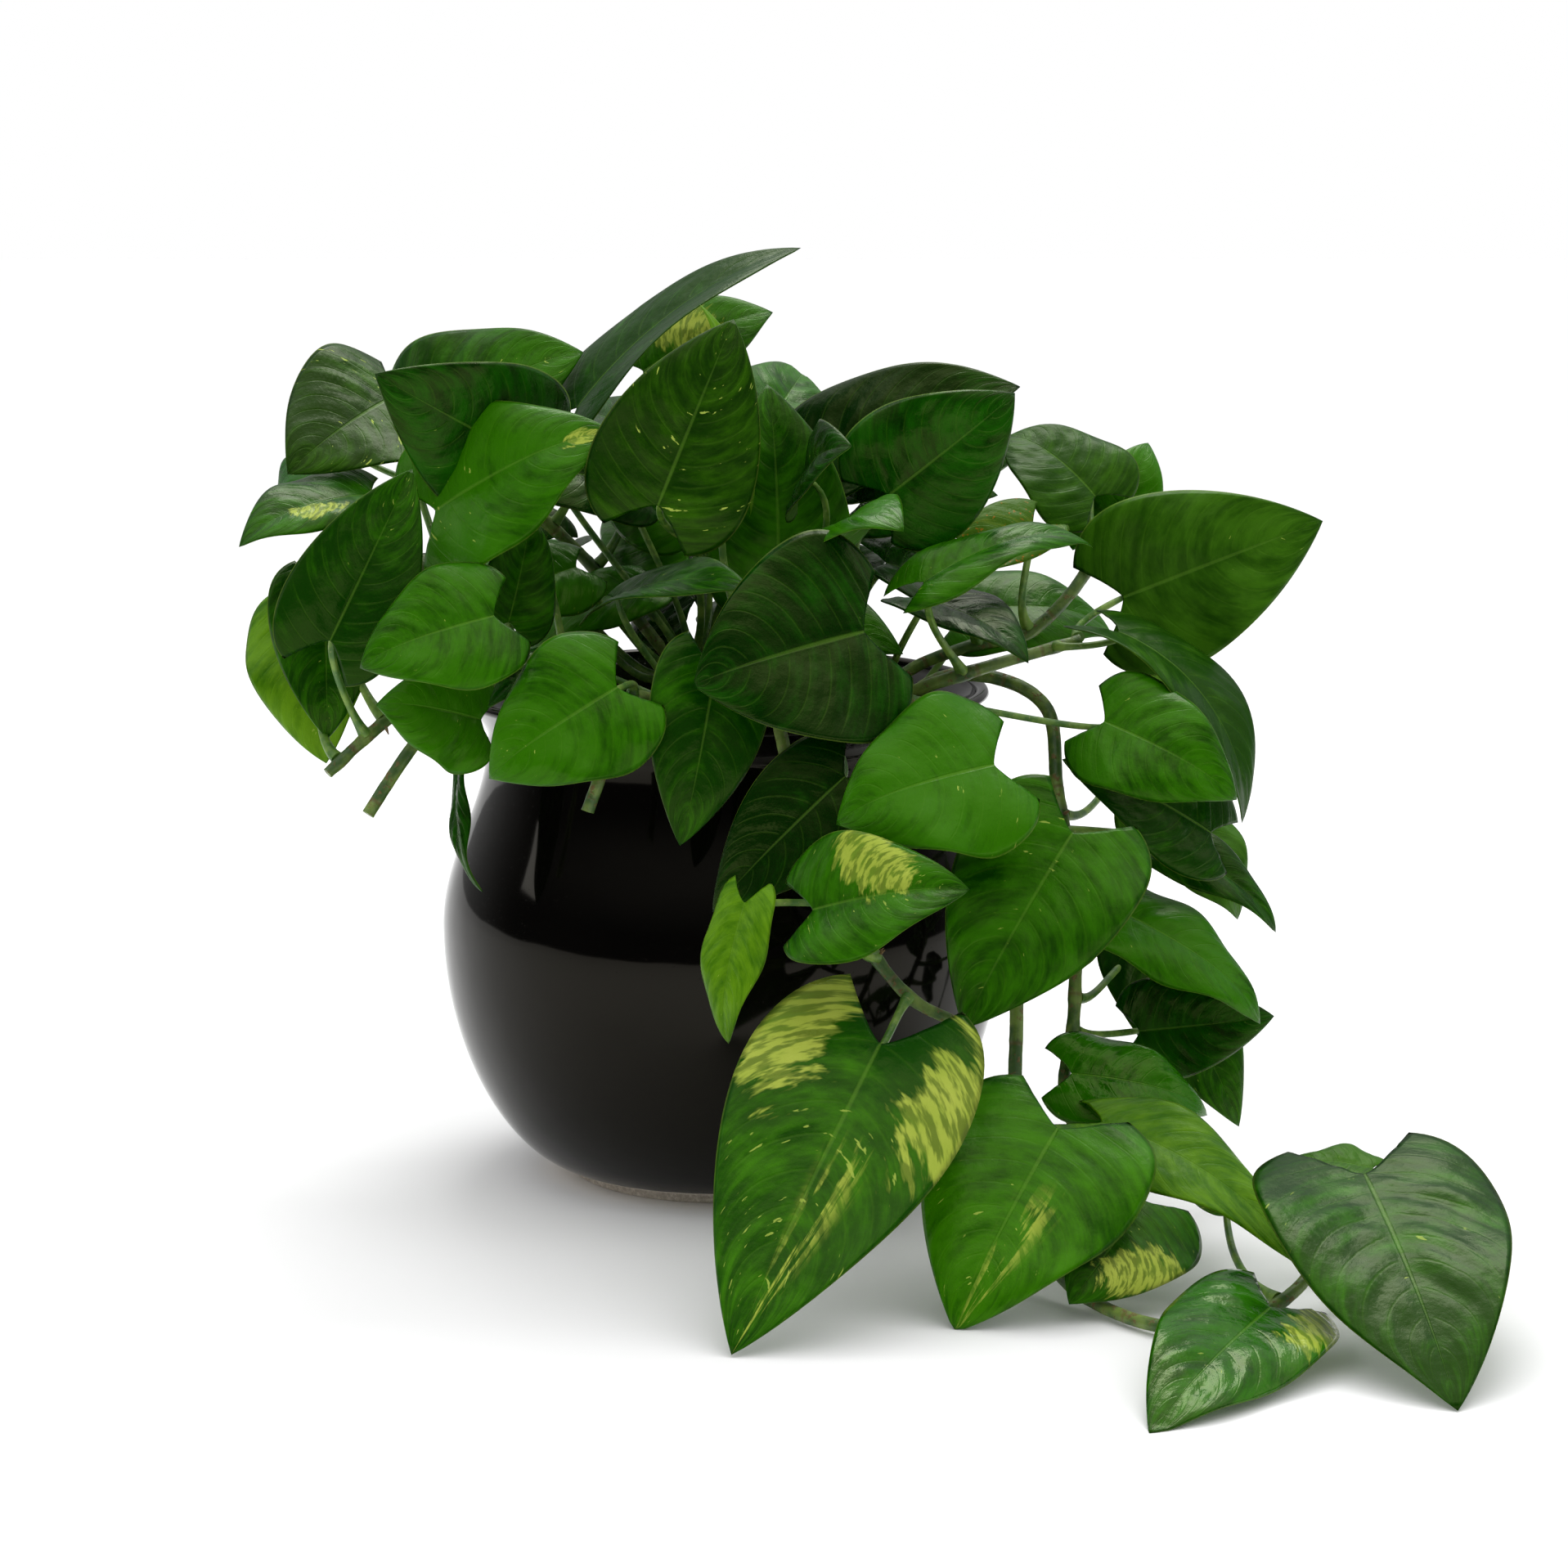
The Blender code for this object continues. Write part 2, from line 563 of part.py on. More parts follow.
def petiole_route(vine, share, base, frame, bend):
    """From just off the vine's skin to just inside the blade's underside."""
    along, _, normal = frame
    place, direction = on_vine(vine, share)
    reach = base - place
    outward = (reach - reach.dot(direction) * direction).normalized()
    start = place + outward * (VINE_RADIUS + GAP)
    tilt = math.radians(bend) / 2
    forward = math.cos(tilt) * along + math.sin(tilt) * normal
    above = math.cos(tilt) * normal - math.sin(tilt) * along
    joint = base + 1.5 * PETIOLE_RADIUS * forward - 0.2 * PETIOLE_RADIUS * above
    arrive = (0.6 * forward + 0.8 * above).normalized()
    span = (joint - start).length
    leaving = start + PETIOLE_LEAVING * span * outward
    arriving = joint - PETIOLE_ARRIVING * span * arrive
    return bezier(start, leaving, arriving, joint, PETIOLE_STEPS)


def make_leaf(name, row, material):
    vine, share, base, tip, facing, width, lift, bend, twist = row
    base, tip = laid_out(*base), laid_out(*tip)
    frame = blade_frame(base, tip, Vector(facing))
    leaf = make_blade(name, base, tip, frame, width, lift, bend, twist, material)
    route = petiole_route(vine, share, base, frame, bend)
    radii = [PETIOLE_RADIUS] * len(route)
    join(leaf, tube(name + "_petiole", route, radii, material, cutters))
    return leaf


def main():
    clear_scene()
    make_pot(make_material("glazed_ceramic", (0.01, 0.009, 0.009), 0.12))
    make_mix(make_material("potting_mix", (0.045, 0.028, 0.018), 0.95))
    for name in VINES:
        make_vine(name, make_material(name + "_skin", (0.09, 0.13, 0.03), 0.6))
    for name, row in LEAVES.items():
        make_leaf(name, row, make_material(name + "_green", (0.03, 0.13, 0.015), 0.35))


main()
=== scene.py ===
# Potted pothos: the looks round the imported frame. Metres, +Z up, -Y is the front.
import math
import random

import bpy
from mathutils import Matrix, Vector, kdtree


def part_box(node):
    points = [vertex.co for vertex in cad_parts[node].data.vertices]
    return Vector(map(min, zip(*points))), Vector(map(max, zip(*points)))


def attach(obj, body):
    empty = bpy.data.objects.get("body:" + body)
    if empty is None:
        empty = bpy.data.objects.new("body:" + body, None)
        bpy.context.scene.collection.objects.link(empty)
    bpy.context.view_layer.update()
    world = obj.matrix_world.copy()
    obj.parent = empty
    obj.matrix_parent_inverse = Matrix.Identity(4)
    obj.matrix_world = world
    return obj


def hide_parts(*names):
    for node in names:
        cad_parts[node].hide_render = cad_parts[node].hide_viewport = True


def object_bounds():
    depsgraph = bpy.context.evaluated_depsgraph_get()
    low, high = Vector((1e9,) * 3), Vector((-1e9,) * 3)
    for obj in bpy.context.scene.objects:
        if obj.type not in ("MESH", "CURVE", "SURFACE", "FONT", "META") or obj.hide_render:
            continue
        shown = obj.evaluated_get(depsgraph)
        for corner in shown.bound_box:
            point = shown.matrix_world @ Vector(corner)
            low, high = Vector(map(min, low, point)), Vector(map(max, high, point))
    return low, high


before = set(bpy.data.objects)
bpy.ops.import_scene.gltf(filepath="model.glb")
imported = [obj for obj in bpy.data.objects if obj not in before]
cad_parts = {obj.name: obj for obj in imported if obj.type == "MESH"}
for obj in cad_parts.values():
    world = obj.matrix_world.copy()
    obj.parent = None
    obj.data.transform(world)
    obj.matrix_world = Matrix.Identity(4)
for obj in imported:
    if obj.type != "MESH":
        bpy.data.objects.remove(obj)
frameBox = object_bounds()
cm = 0.01  # the foliage below is laid out in centimetres
mm = 0.001
print("frame loaded:", len(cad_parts), "nodes")


# ---- a small helper for node trees: Python's operators add Math nodes

class Field:
    def __init__(self, tree, socket):
        self.tree, self.socket = tree, socket

    def __add__(self, other):
        return mathNode(self.tree, "ADD", self, other)

    def __radd__(self, other):
        return mathNode(self.tree, "ADD", other, self)

    def __sub__(self, other):
        return mathNode(self.tree, "SUBTRACT", self, other)

    def __rsub__(self, other):
        return mathNode(self.tree, "SUBTRACT", other, self)

    def __mul__(self, other):
        return mathNode(self.tree, "MULTIPLY", self, other)

    def __rmul__(self, other):
        return mathNode(self.tree, "MULTIPLY", other, self)

    def __truediv__(self, other):
        return mathNode(self.tree, "DIVIDE", self, other)

    def __rtruediv__(self, other):
        return mathNode(self.tree, "DIVIDE", other, self)

    def __pow__(self, other):
        return mathNode(self.tree, "POWER", self, other)

    def __neg__(self):
        return mathNode(self.tree, "MULTIPLY", self, -1.0)


def plug(tree, target, value):
    # a field is linked into the socket, a plain value is set on it
    if isinstance(value, Field):
        tree.links.new(value.socket, target)
    elif isinstance(value, bpy.types.NodeSocket):
        tree.links.new(value, target)
    elif value is not None:
        target.default_value = value


def mathNode(tree, operation, *values):
    node = tree.nodes.new("ShaderNodeMath")
    node.operation = operation
    for socket, value in zip(node.inputs, values):
        plug(tree, socket, value)
    return Field(tree, node.outputs[0])


def call(operation, *values):
    tree = next(value.tree for value in values if isinstance(value, Field))
    return mathNode(tree, operation, *values)


def vectorNode(tree, operation, *values, scale=None, output=0):
    node = tree.nodes.new("ShaderNodeVectorMath")
    node.operation = operation
    for socket, value in zip(node.inputs, values):
        plug(tree, socket, value)
    if scale is not None:
        plug(tree, node.inputs["Scale"], scale)
    return Field(tree, node.outputs[output])


def scaled(vector, amount):
    return vectorNode(vector.tree, "SCALE", vector, scale=amount)


def summed(first, *others):
    for other in others:
        first = vectorNode(first.tree, "ADD", first, other)
    return first


def nodeOf(tree, kind, settings=None, **inputs):
    node = tree.nodes.new(kind)
    for name, value in (settings or {}).items():
        setattr(node, name, value)
    for name, value in inputs.items():
        plug(tree, node.inputs[name.replace("_", " ")], value)
    return node


def drawnValue(tree, kind, low, high, seed):
    # a random value for each point, between low and high
    node = nodeOf(tree, "FunctionNodeRandomValue", {"data_type": kind})
    for socket, value in zip([s for s in node.inputs if s.enabled], (low, high, None, seed)):
        plug(tree, socket, value)
    return Field(tree, next(s for s in node.outputs if s.enabled))


def newTree(name, floats=(), vectors=(), materials=(), integers=()):
    # a geometry tree with named inputs; returns it with its input fields by name
    tree = bpy.data.node_groups.new(name, "GeometryNodeTree")
    tree.interface.new_socket("Geometry", in_out="INPUT", socket_type="NodeSocketGeometry")
    tree.interface.new_socket("Geometry", in_out="OUTPUT", socket_type="NodeSocketGeometry")
    for names, kind in ((floats, "NodeSocketFloat"), (vectors, "NodeSocketVector"),
                        (materials, "NodeSocketMaterial"), (integers, "NodeSocketInt")):
        for title in names:
            tree.interface.new_socket(title, in_out="INPUT", socket_type=kind)
    source = tree.nodes.new("NodeGroupInput")
    fields = {socket.name: Field(tree, socket) for socket in source.outputs if socket.name}
    tree.nodes.new("NodeGroupOutput")
    return tree, fields


def closeTree(tree, geometry):
    realized = nodeOf(tree, "GeometryNodeRealizeInstances", Geometry=geometry)
    output = next(node for node in tree.nodes if node.type == "GROUP_OUTPUT")
    tree.links.new(realized.outputs[0], output.inputs[0])


def grown(name, base, tree, values):
    # runs a geometry tree on an object and returns a new plain mesh object with the result
    modifier = base.modifiers.new("Grow", "NODES")
    modifier.node_group = tree
    for socket in tree.interface.items_tree:
        if socket.item_type == "SOCKET" and socket.in_out == "INPUT" and socket.name in values:
            modifier[socket.identifier] = values[socket.name]
    bpy.context.view_layer.update()
    mesh = bpy.data.meshes.new_from_object(base.evaluated_get(bpy.context.evaluated_depsgraph_get()))
    base.modifiers.remove(modifier)
    bpy.data.objects.remove(base)
    piece = bpy.data.objects.new(name, mesh)
    bpy.context.scene.collection.objects.link(piece)
    return piece


def colour(red, green, blue):
    # a colour given as 0-255 display values, as the linear values that Blender works in
    values = [v / 255 for v in (red, green, blue)]
    return tuple(v / 12.92 if v < 0.04045 else ((v + 0.055) / 1.055) ** 2.4 for v in values) + (1.0,)


def newMaterial(name, roughness):
    material = bpy.data.materials.new(name)
    material.use_nodes = True
    shader = material.node_tree.nodes["Principled BSDF"]
    shader.inputs["Roughness"].default_value = roughness
    return material, material.node_tree, shader


def mixed(tree, share, first, second):
    node = nodeOf(tree, "ShaderNodeMix", {"data_type": "RGBA"})
    plug(tree, node.inputs["Factor"], share)
    colours = [socket for socket in node.inputs if socket.type == "RGBA"]
    plug(tree, colours[0], first)
    plug(tree, colours[1], second)
    return Field(tree, next(socket for socket in node.outputs if socket.type == "RGBA"))


def ramp(value, low, high):
    # 0 below low, 1 above high, smooth between
    node = nodeOf(value.tree, "ShaderNodeMapRange", {"interpolation_type": "SMOOTHSTEP"})
    for name, number in (("Value", value), ("From Min", low), ("From Max", high)):
        plug(value.tree, node.inputs[name], number)
    return Field(value.tree, node.outputs[0])


def noise(tree, vector, scale, detail=3.0, roughness=0.5):
    node = nodeOf(tree, "ShaderNodeTexNoise", Vector=vector, Scale=scale, Detail=detail, Roughness=roughness)
    return Field(tree, node.outputs[0])


def place(tree):
    return Field(tree, tree.nodes.new("ShaderNodeTexCoord").outputs["Object"])


def attribute(tree, name, output="Fac"):
    node = tree.nodes.new("ShaderNodeAttribute")
    node.attribute_name = name
    return Field(tree, node.outputs[output])


def parts(tree, vector):
    node = nodeOf(tree, "ShaderNodeSeparateXYZ", Vector=vector)
    return [Field(tree, socket) for socket in node.outputs]


def joined(tree, x, y, z):
    node = nodeOf(tree, "ShaderNodeCombineXYZ", X=x, Y=y, Z=z)
    return Field(tree, node.outputs[0])


def bump(tree, shader, height, distance, strength=1.0):
    node = nodeOf(tree, "ShaderNodeBump", Height=height, Distance=distance, Strength=strength)
    tree.links.new(node.outputs[0], shader.inputs["Normal"])


# ---- leaves: where each grows, repeated from the part so that each blade lies on its own solid

# vines: the place on the mix where each is rooted, then its route, in centimetres
vines = {
    "vine_left": (
        (-4.5, -3.5),
        [
            (-6.3, -4.0, 19.3), (-8.6, -4.9, 20.5), (-11.0, -6.3, 20.0),
            (-12.8, -7.6, 18.7), (-14.5, -8.5, 17.2),
        ],
    ),
    "vine_centre": (
        (0.0, 1.0),
        [(0.5, 0.2, 20.0), (1.1, -0.8, 23.0), (1.2, -1.2, 26.0)],
    ),
    "vine_right": (
        (4.5, -3.0),
        [(7.0, -4.9, 19.5), (9.2, -5.7, 20.5), (11.1, -5.2, 21.0), (13.6, -4.5, 21.6)],
    ),
    "vine_hanging": (
        (5.6, -1.0),
        [(8.0, -2.8, 19.7), (10.4, -3.4, 20.0), (12.4, -4.2, 18.9), (12.7, -5.8, 16.2), (13.1, -7.2, 13.3),
         (13.3, -8.0, 10.4), (13.2, -9.0, 7.8), (12.8, -10.2, 5.6), (13.4, -12.0, 4.0), (14.6, -12.4, 3.5),
         (16.1, -11.4, 3.8)],
    ),
    "vine_trailing": (
        (3.4, -6.0),
        [(5.4, -8.0, 19.7), (7.2, -9.8, 20.0), (9.0, -10.7, 18.4), (10.2, -11.0, 15.0), (10.8, -11.3, 11.8),
         (10.9, -12.0, 8.9), (10.8, -13.4, 6.0), (11.0, -15.4, 3.6), (11.5, -17.2, 1.9), (12.4, -18.8, 0.8),
         (13.8, -20.8, 0.4), (15.6, -22.6, 0.4), (17.8, -22.6, 0.5), (19.8, -21.0, 0.9), (21.8, -18.6, 1.9),
         (23.8, -17.2, 2.6), (26.0, -16.6, 2.7), (27.9, -16.2, 2.9)],
    ),
    "vine_middle": (
        (0.2, -5.4),
        [(1.4, -8.0, 19.5), (2.0, -10.0, 20.2), (2.5, -11.5, 18.3), (3.7, -12.2, 14.8), (5.4, -13.4, 11.8),
         (7.0, -13.8, 9.9), (8.8, -13.6, 8.9)],
    ),
}

# forks: the vine that each grows from, the share along it, then its route in centimetres
forks = {
    "fork_left": (
        "vine_left",
        0.10,
        [
            (-6.6, -6.0, 19.5), (-8.2, -7.5, 20.5), (-10.0, -8.4, 19.8),
            (-11.5, -9.0, 18.0), (-12.9, -9.8, 15.9),
        ],
    ),
    "fork_back": (
        "vine_centre",
        0.15,
        [(-2.5, 1.6, 20.5), (-5.5, 1.8, 24.0), (-8.5, 0.5, 27.0)],
    ),
    "fork_right": (
        "vine_right",
        0.10,
        [(6.8, -1.2, 19.6), (9.3, -1.2, 20.8), (11.7, -1.5, 21.4), (13.5, -1.2, 23.0), (14.8, -0.5, 25.0)],
    ),
    "fork_front": (
        "vine_middle",
        0.05,
        [
            (-1.8, -7.4, 19.4), (-3.2, -9.6, 20.2), (-3.9, -11.3, 19.3),
            (-4.2, -12.2, 17.9), (-4.7, -12.4, 16.5),
        ],
    ),
}

# leaves: vine, share along it, blade base and tip in centimetres, the way the upper side looks,
# width / length, degrees that each half lifts, that the midrib bends and that the blade twists
leaves = {
    "leaf_top_spear": (
        "fork_back", 0.80, (-5.7, 2.0, 29.8), (3.0, 3.0, 36.2), (-0.5, -0.35, 0.8), 0.5, 15, 35, 0,
    ),
    "leaf_top_back": (
        "fork_back", 0.62, (-3.2, 5.0, 31.0), (1.8, 5.0, 33.8), (0.0, -0.7, 0.7), 0.9, 10, 15, 0,
    ),
    "leaf_centre_face": (
        "vine_centre", 0.9, (-2.2, -9.0, 27.2), (0.6, -8.0, 34.0), (0.1, -1, 0.3), 0.85, 12, 15, 0,
    ),
    "leaf_young": (
        "vine_middle", 0.22, (0.9, -7.2, 27.8), (0.1, -6.4, 34.6), (0.9, -0.6, 0.1), 0.35, 40, 12, 0,
    ),
    "leaf_centre_tall": (
        "vine_centre", 0.7, (2.2, -4.0, 23.7), (1.9, -3.0, 31.3), (0.2, -1, 0.3), 0.8, 18, 20, 0,
    ),
    "leaf_top_right": (
        "vine_centre", 0.8, (3.7, 1.0, 28.1), (11.5, 0.0, 31.0), (0, -0.75, 0.65), 0.65, 10, 30, 0,
    ),
    "leaf_right_heart": (
        "fork_right", 0.45, (6.3, -5.5, 27.2), (11.0, -6.0, 31.0), (0.1, -1, 0.1), 0.95, 8, 10, 0,
    ),
    "leaf_right_arch": (
        "fork_right", 1.0, (14.5, 0.6, 26.5), (11.0, 3.0, 29.0), (0.2, -0.7, 0.7), 1.05, 8, 40, 0,
    ),
    "leaf_right_back": (
        "fork_right", 0.9, (15.0, 2.5, 24.5), (17.0, 3.5, 28.6), (0.2, -0.8, 0.5), 0.8, 8, 20, 0,
    ),
    "leaf_right_big": (
        "vine_right", 1.0, (15.4, -2.0, 22.9), (22.9, -3.0, 26.0), (0.1, -1, 0.25), 0.85, 8, 12, 0,
    ),
    "leaf_right_hood": (
        "vine_right", 0.92, (15.0, -5.0, 22.0), (19.9, -7.5, 15.1), (0.6, -0.4, 0.7), 0.6, 15, 70, 0,
    ),
    "leaf_right_lobe": (
        "vine_trailing", 0.13, (14.2, -8.8, 19.2), (19.1, -11.0, 16.9), (0.1, -0.9, 0.4), 0.85, 10, 30, 0,
    ),
    "leaf_right_under": (
        "vine_hanging", 0.42, (16.0, 0.0, 16.2), (17.2, 1.0, 20.0), (0.3, -0.9, 0.2), 0.7, 10, 20, 0,
    ),
    "leaf_spotted": (
        "fork_right", 0.62, (11.9, -2.8, 25.8), (7.9, -6.0, 23.5), (-0.3, -0.8, 0.5), 0.6, 25, 20, 30,
    ),
    "leaf_ribbon": (
        "vine_right", 0.55, (7.5, -9.0, 24.4), (14.2, -5.6, 26.0), (0.0, -0.4, 0.9), 0.4, 20, 40, 0,
    ),
    "leaf_front_heart": (
        "vine_middle", 0.25, (5.3, -11.3, 22.9), (-0.9, -12.9, 21.3), (0, -0.9, 0.4), 1.25, 8, 20, 0,
    ),
    "leaf_front_kite": (
        "vine_trailing", 0.21, (9.9, -14.0, 18.5), (4.1, -15.3, 17.0), (0, -0.8, 0.6), 1.1, 8, 20, 0,
    ),
    "leaf_front_big": (
        "vine_trailing", 0.27, (12.8, -12.8, 15.8), (8.7, -15.4, 9.2), (-0.1, -0.9, 0.45), 0.85, 8, 20, 0,
    ),
    "leaf_right_kite": (
        "vine_hanging", 0.44, (18.4, -7.2, 14.7), (12.8, -8.8, 17.9), (-0.1, -0.8, 0.6), 0.65, 8, 20, 0,
    ),
    "leaf_right_round": (
        "vine_hanging", 0.50, (16.9, -1.8, 14.9), (20.5, -3.4, 10.8), (0.5, -0.7, 0.6), 0.9, 8, 30, 0,
    ),
    "leaf_right_curl": (
        "vine_hanging", 0.54, (16.2, -5.0, 13.9), (21.4, -6.4, 10.9), (0.2, -0.6, 0.8), 0.5, 20, 50, 0,
    ),
    "leaf_right_strap": (
        "vine_hanging", 0.58, (14.7, -8.0, 12.0), (20.8, -9.0, 8.3), (0.2, -0.6, 0.8), 0.6, 12, 20, 0,
    ),
    "leaf_right_shell": (
        "vine_hanging", 0.66, (15.9, -6.5, 6.9), (20.8, -8.0, 7.8), (0, -1, 0.2), 0.8, 15, 20, 0,
    ),
    "leaf_right_behind": (
        "vine_hanging", 0.62, (16.4, -3.0, 9.2), (20.2, -4.5, 2.6), (0.2, -0.8, 0.5), 0.6, 8, 20, 0,
    ),
    "leaf_low_oval": (
        "vine_hanging", 0.76, (13.0, -11.0, 6.4), (18.6, -10.5, 5.1), (0, -0.7, 0.7), 0.7, 10, 25, 0,
    ),
    "leaf_low_strap": (
        "vine_hanging", 0.86, (13.9, -13.8, 5.3), (21.1, -17.4, 1.3), (0.2, -0.5, 0.85), 0.5, 10, 40, 0,
    ),
    "leaf_variegated": (
        "vine_middle", 0.86, (5.8, -17.3, 9.1), (0.6, -25.0, 0.3), (-0.1, -0.85, 0.5), 0.66, 8, 10, 0,
    ),
    "leaf_low_heart": (
        "vine_trailing", 0.50, (12.1, -17.2, 6.0), (8.2, -22.4, 0.4), (-0.1, -0.8, 0.6), 0.95, 8, 20, 0,
    ),
    "leaf_low_small": (
        "vine_trailing", 0.58, (15.2, -17.8, 3.5), (12.4, -21.6, 1.1), (0.1, -0.85, 0.5), 1.05, 8, 15, 0,
    ),
    "leaf_low_yellow": (
        "vine_trailing", 0.78, (18.6, -13.8, 2.6), (16.7, -13.0, 5.0), (0.2, -0.9, 0.4), 0.7, 8, 15, 0,
    ),
    "leaf_ground_gloss": (
        "vine_trailing", 0.70, (18.9, -24.4, 1.7), (14.2, -32.6, 0.5), (0.1, -0.4, 0.9), 0.58, 10, 10, 0,
    ),
    "leaf_ground_big": (
        "vine_trailing", 0.86, (22.7, -19.2, 4.9), (24.3, -30.5, 0.4), (0.05, -0.85, 0.5), 0.7, 8, 15, 0,
    ),
    "leaf_ground_back": (
        "vine_trailing", 0.94, (23.7, -14.6, 3.8), (20.0, -13.6, 3.9), (0, -0.3, 1), 0.8, 8, 15, 0,
    ),
    "leaf_middle_curl": (
        "vine_middle", 0.76, (3.4, -16.3, 13.7), (8.8, -17.8, 15.0), (0.1, -0.8, 0.6), 0.95, 25, 20, 0,
    ),
    "leaf_middle_dark": (
        "vine_middle", 0.36, (4.6, -13.0, 17.9), (-0.3, -13.0, 12.9), (-0.1, -0.9, 0.4), 0.65, 8, 20, 0,
    ),
    "leaf_middle_flag": (
        "vine_middle", 0.66, (1.0, -16.0, 13.9), (0.0, -17.2, 9.0), (-0.5, -0.8, 0.3), 0.55, 15, 20, 0,
    ),
    "leaf_front_drop": (
        "vine_middle", 0.28, (-0.1, -11.0, 21.5), (-1.3, -12.6, 15.2), (0.2, -0.9, 0.3), 0.7, 15, 20, 0,
    ),
    "leaf_front_left": (
        "fork_front", 0.4, (-3.6, -12.1, 21.0), (-8.4, -13.2, 18.0), (0, -0.9, 0.4), 1.0, 8, 15, 0,
    ),
    "leaf_front_slip": (
        "fork_front", 0.22, (-4.9, -8.9, 21.8), (-8.4, -11.6, 20.6), (-0.2, -0.7, 0.7), 0.6, 15, 25, 0,
    ),
    "leaf_front_roof": (
        "fork_front", 0.1, (-4.0, -6.4, 23.4), (1.2, -11.5, 24.7), (0, -0.5, 0.85), 0.5, 15, 30, 0,
    ),
    "leaf_left_wing": (
        "fork_left", 0.3, (-8.1, -10.7, 23.4), (-13.0, -12.0, 22.0), (0, -0.85, 0.5), 1.0, 12, 15, 0,
    ),
    "leaf_left_upright": (
        "fork_left", 0.36, (-7.8, -7.5, 22.7), (-6.9, -6.4, 26.8), (0.4, -0.9, 0.3), 0.8, 25, 15, 0,
    ),
    "leaf_left_round": (
        "fork_left", 0.5, (-8.7, -9.6, 19.4), (-12.3, -10.8, 20.4), (0, -0.9, 0.4), 1.1, 10, 20, 0,
    ),
    "leaf_left_dangle": (
        "vine_left", 0.62, (-9.7, -6.6, 17.3), (-9.5, -8.6, 12.6), (-0.9, -0.4, 0.1), 0.35, 25, 20, 0,
    ),
    "leaf_left_shoulder": (
        "vine_left", 0.5, (-12.4, -1.2, 30.6), (-16.0, -6.0, 28.3), (-0.1, -1, 0.4), 1.0, 8, 20, 0,
    ),
    "leaf_left_back": (
        "fork_back", 0.92, (-15.2, 5.6, 28.2), (-17.5, 1.6, 25.6), (-0.5, -0.7, 0.5), 0.8, 8, 20, 0,
    ),
    "leaf_left_ledge": (
        "vine_left", 0.6, (-13.0, -5.2, 27.2), (-17.6, -9.0, 26.2), (-0.2, -0.6, 0.8), 0.75, 15, 25, 0,
    ),
    "leaf_left_fold": (
        "vine_left", 0.85, (-14.2, -9.5, 22.3), (-11.2, -8.0, 28.5), (0.2, -0.9, 0.3), 0.75, 25, 15, 0,
    ),
    "leaf_left_pale": (
        "vine_left", 0.95, (-15.8, -2.5, 22.4), (-15.2, -5.0, 17.0), (-0.2, -0.9, 0.3), 0.9, 10, 20, 0,
    ),
    "leaf_left_droop": (
        "vine_left", 0.78, (-14.8, -5.6, 23.8), (-14.6, -7.5, 18.3), (0.1, -0.9, 0.3), 0.75, 12, 20, 0,
    ),
    "leaf_upper_left": (
        "vine_left", 0.41, (-10.5, -7.0, 26.8), (-4.1, -8.5, 30.3), (0, -0.85, 0.6), 0.9, 12, 20, 0,
    ),
    "leaf_top_left": (
        "fork_back", 0.85, (-12.1, 3.6, 28.7), (-5.6, 2.6, 32.3), (-0.1, -0.8, 0.6), 0.95, 8, 25, 0,
    ),
}

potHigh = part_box("pot")[1]
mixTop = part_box("potting_mix")[1].z
growth = {"vineRadius": 0.0028, "forkShare": 0.85, "taper": 0.25, "gap": 0.0003, "spanSteps": 2,
          "fineSteps": 12, "stalkSteps": 22, "leaving": 0.3, "arriving": 0.35, "rooted": 0.0012}


def inMetres(spot):
    return Vector(spot) * cm


def smoothRoute(knots, steps):
    # points of a smooth curve through the knots (Catmull-Rom)
    ends = [2 * knots[0] - knots[1], *knots, 2 * knots[-1] - knots[-2]]
    route = []
    for a, b, c, d in zip(ends, ends[1:], ends[2:], ends[3:]):
        for step in range(steps):
            t = step / steps
            bend = (2 * a - 5 * b + 4 * c - d) * t**2 + (3 * b - 3 * c + d - a) * t**3
            route.append(0.5 * (2 * b + (c - a) * t + bend))
    return [*route, knots[-1]]


def vineRoute(name, steps):
    if name in forks:
        vine, share, knots = forks[name]
        return smoothRoute([onVine(vine, share)[0], *(inMetres(knot) for knot in knots)], steps)
    (rootX, rootY), knots = vines[name]
    root = Vector((rootX * cm, rootY * cm, mixTop + growth["gap"]))
    above = root + Vector((0, 0, 1.5 * growth["vineRadius"]))
    return [root, *smoothRoute([above, *(inMetres(knot) for knot in knots)], steps)]


def onVine(name, share):
    # place and direction of the vine at a share of its coarse route, as in the part
    route = vineRoute(name, growth["spanSteps"])
    position = share * (len(route) - 1)
    index = min(int(position), len(route) - 2)
    spot = route[index].lerp(route[index + 1], position - index)
    return spot, (route[index + 1] - route[index]).normalized()


# ---- leaf skins

# dark and light are the two ends of each green; spots and streak stand only on the skins that have them
skins = {
    "deep": {"dark": (0, 34, 0), "light": (16, 80, 0), "flecks": 0.2, "roughness": 0.32},
    "wet": {"dark": (4, 52, 0), "light": (36, 100, 0), "flecks": 0.2, "roughness": 0.2},
    "mid": {"dark": (6, 52, 0), "light": (44, 106, 0), "flecks": 0.35, "roughness": 0.35},
    # the next skin's duller, less saturated green is partly painted sheen: its cast stands in for the shine
    # of light on these leaves
    "grey_painted_sheen": {"dark": (18, 60, 0), "light": (54, 102, 12), "flecks": 0.2, "roughness": 0.42},
    "flecked": {"dark": (8, 46, 0), "light": (46, 94, 2), "flecks": 1.0, "roughness": 0.38},
    "young": {"dark": (40, 92, 0), "light": (92, 138, 16), "flecks": 0.1, "roughness": 0.38},
    "spotted": {"dark": (52, 90, 6), "light": (128, 140, 30), "flecks": 0.4, "roughness": 0.42, "spots": 1.0},
    "splashed": {"dark": (6, 62, 0), "light": (52, 116, 0), "flecks": 0.5, "roughness": 0.34, "streak": 1.0},
}
veinsPerBlade = 9.0
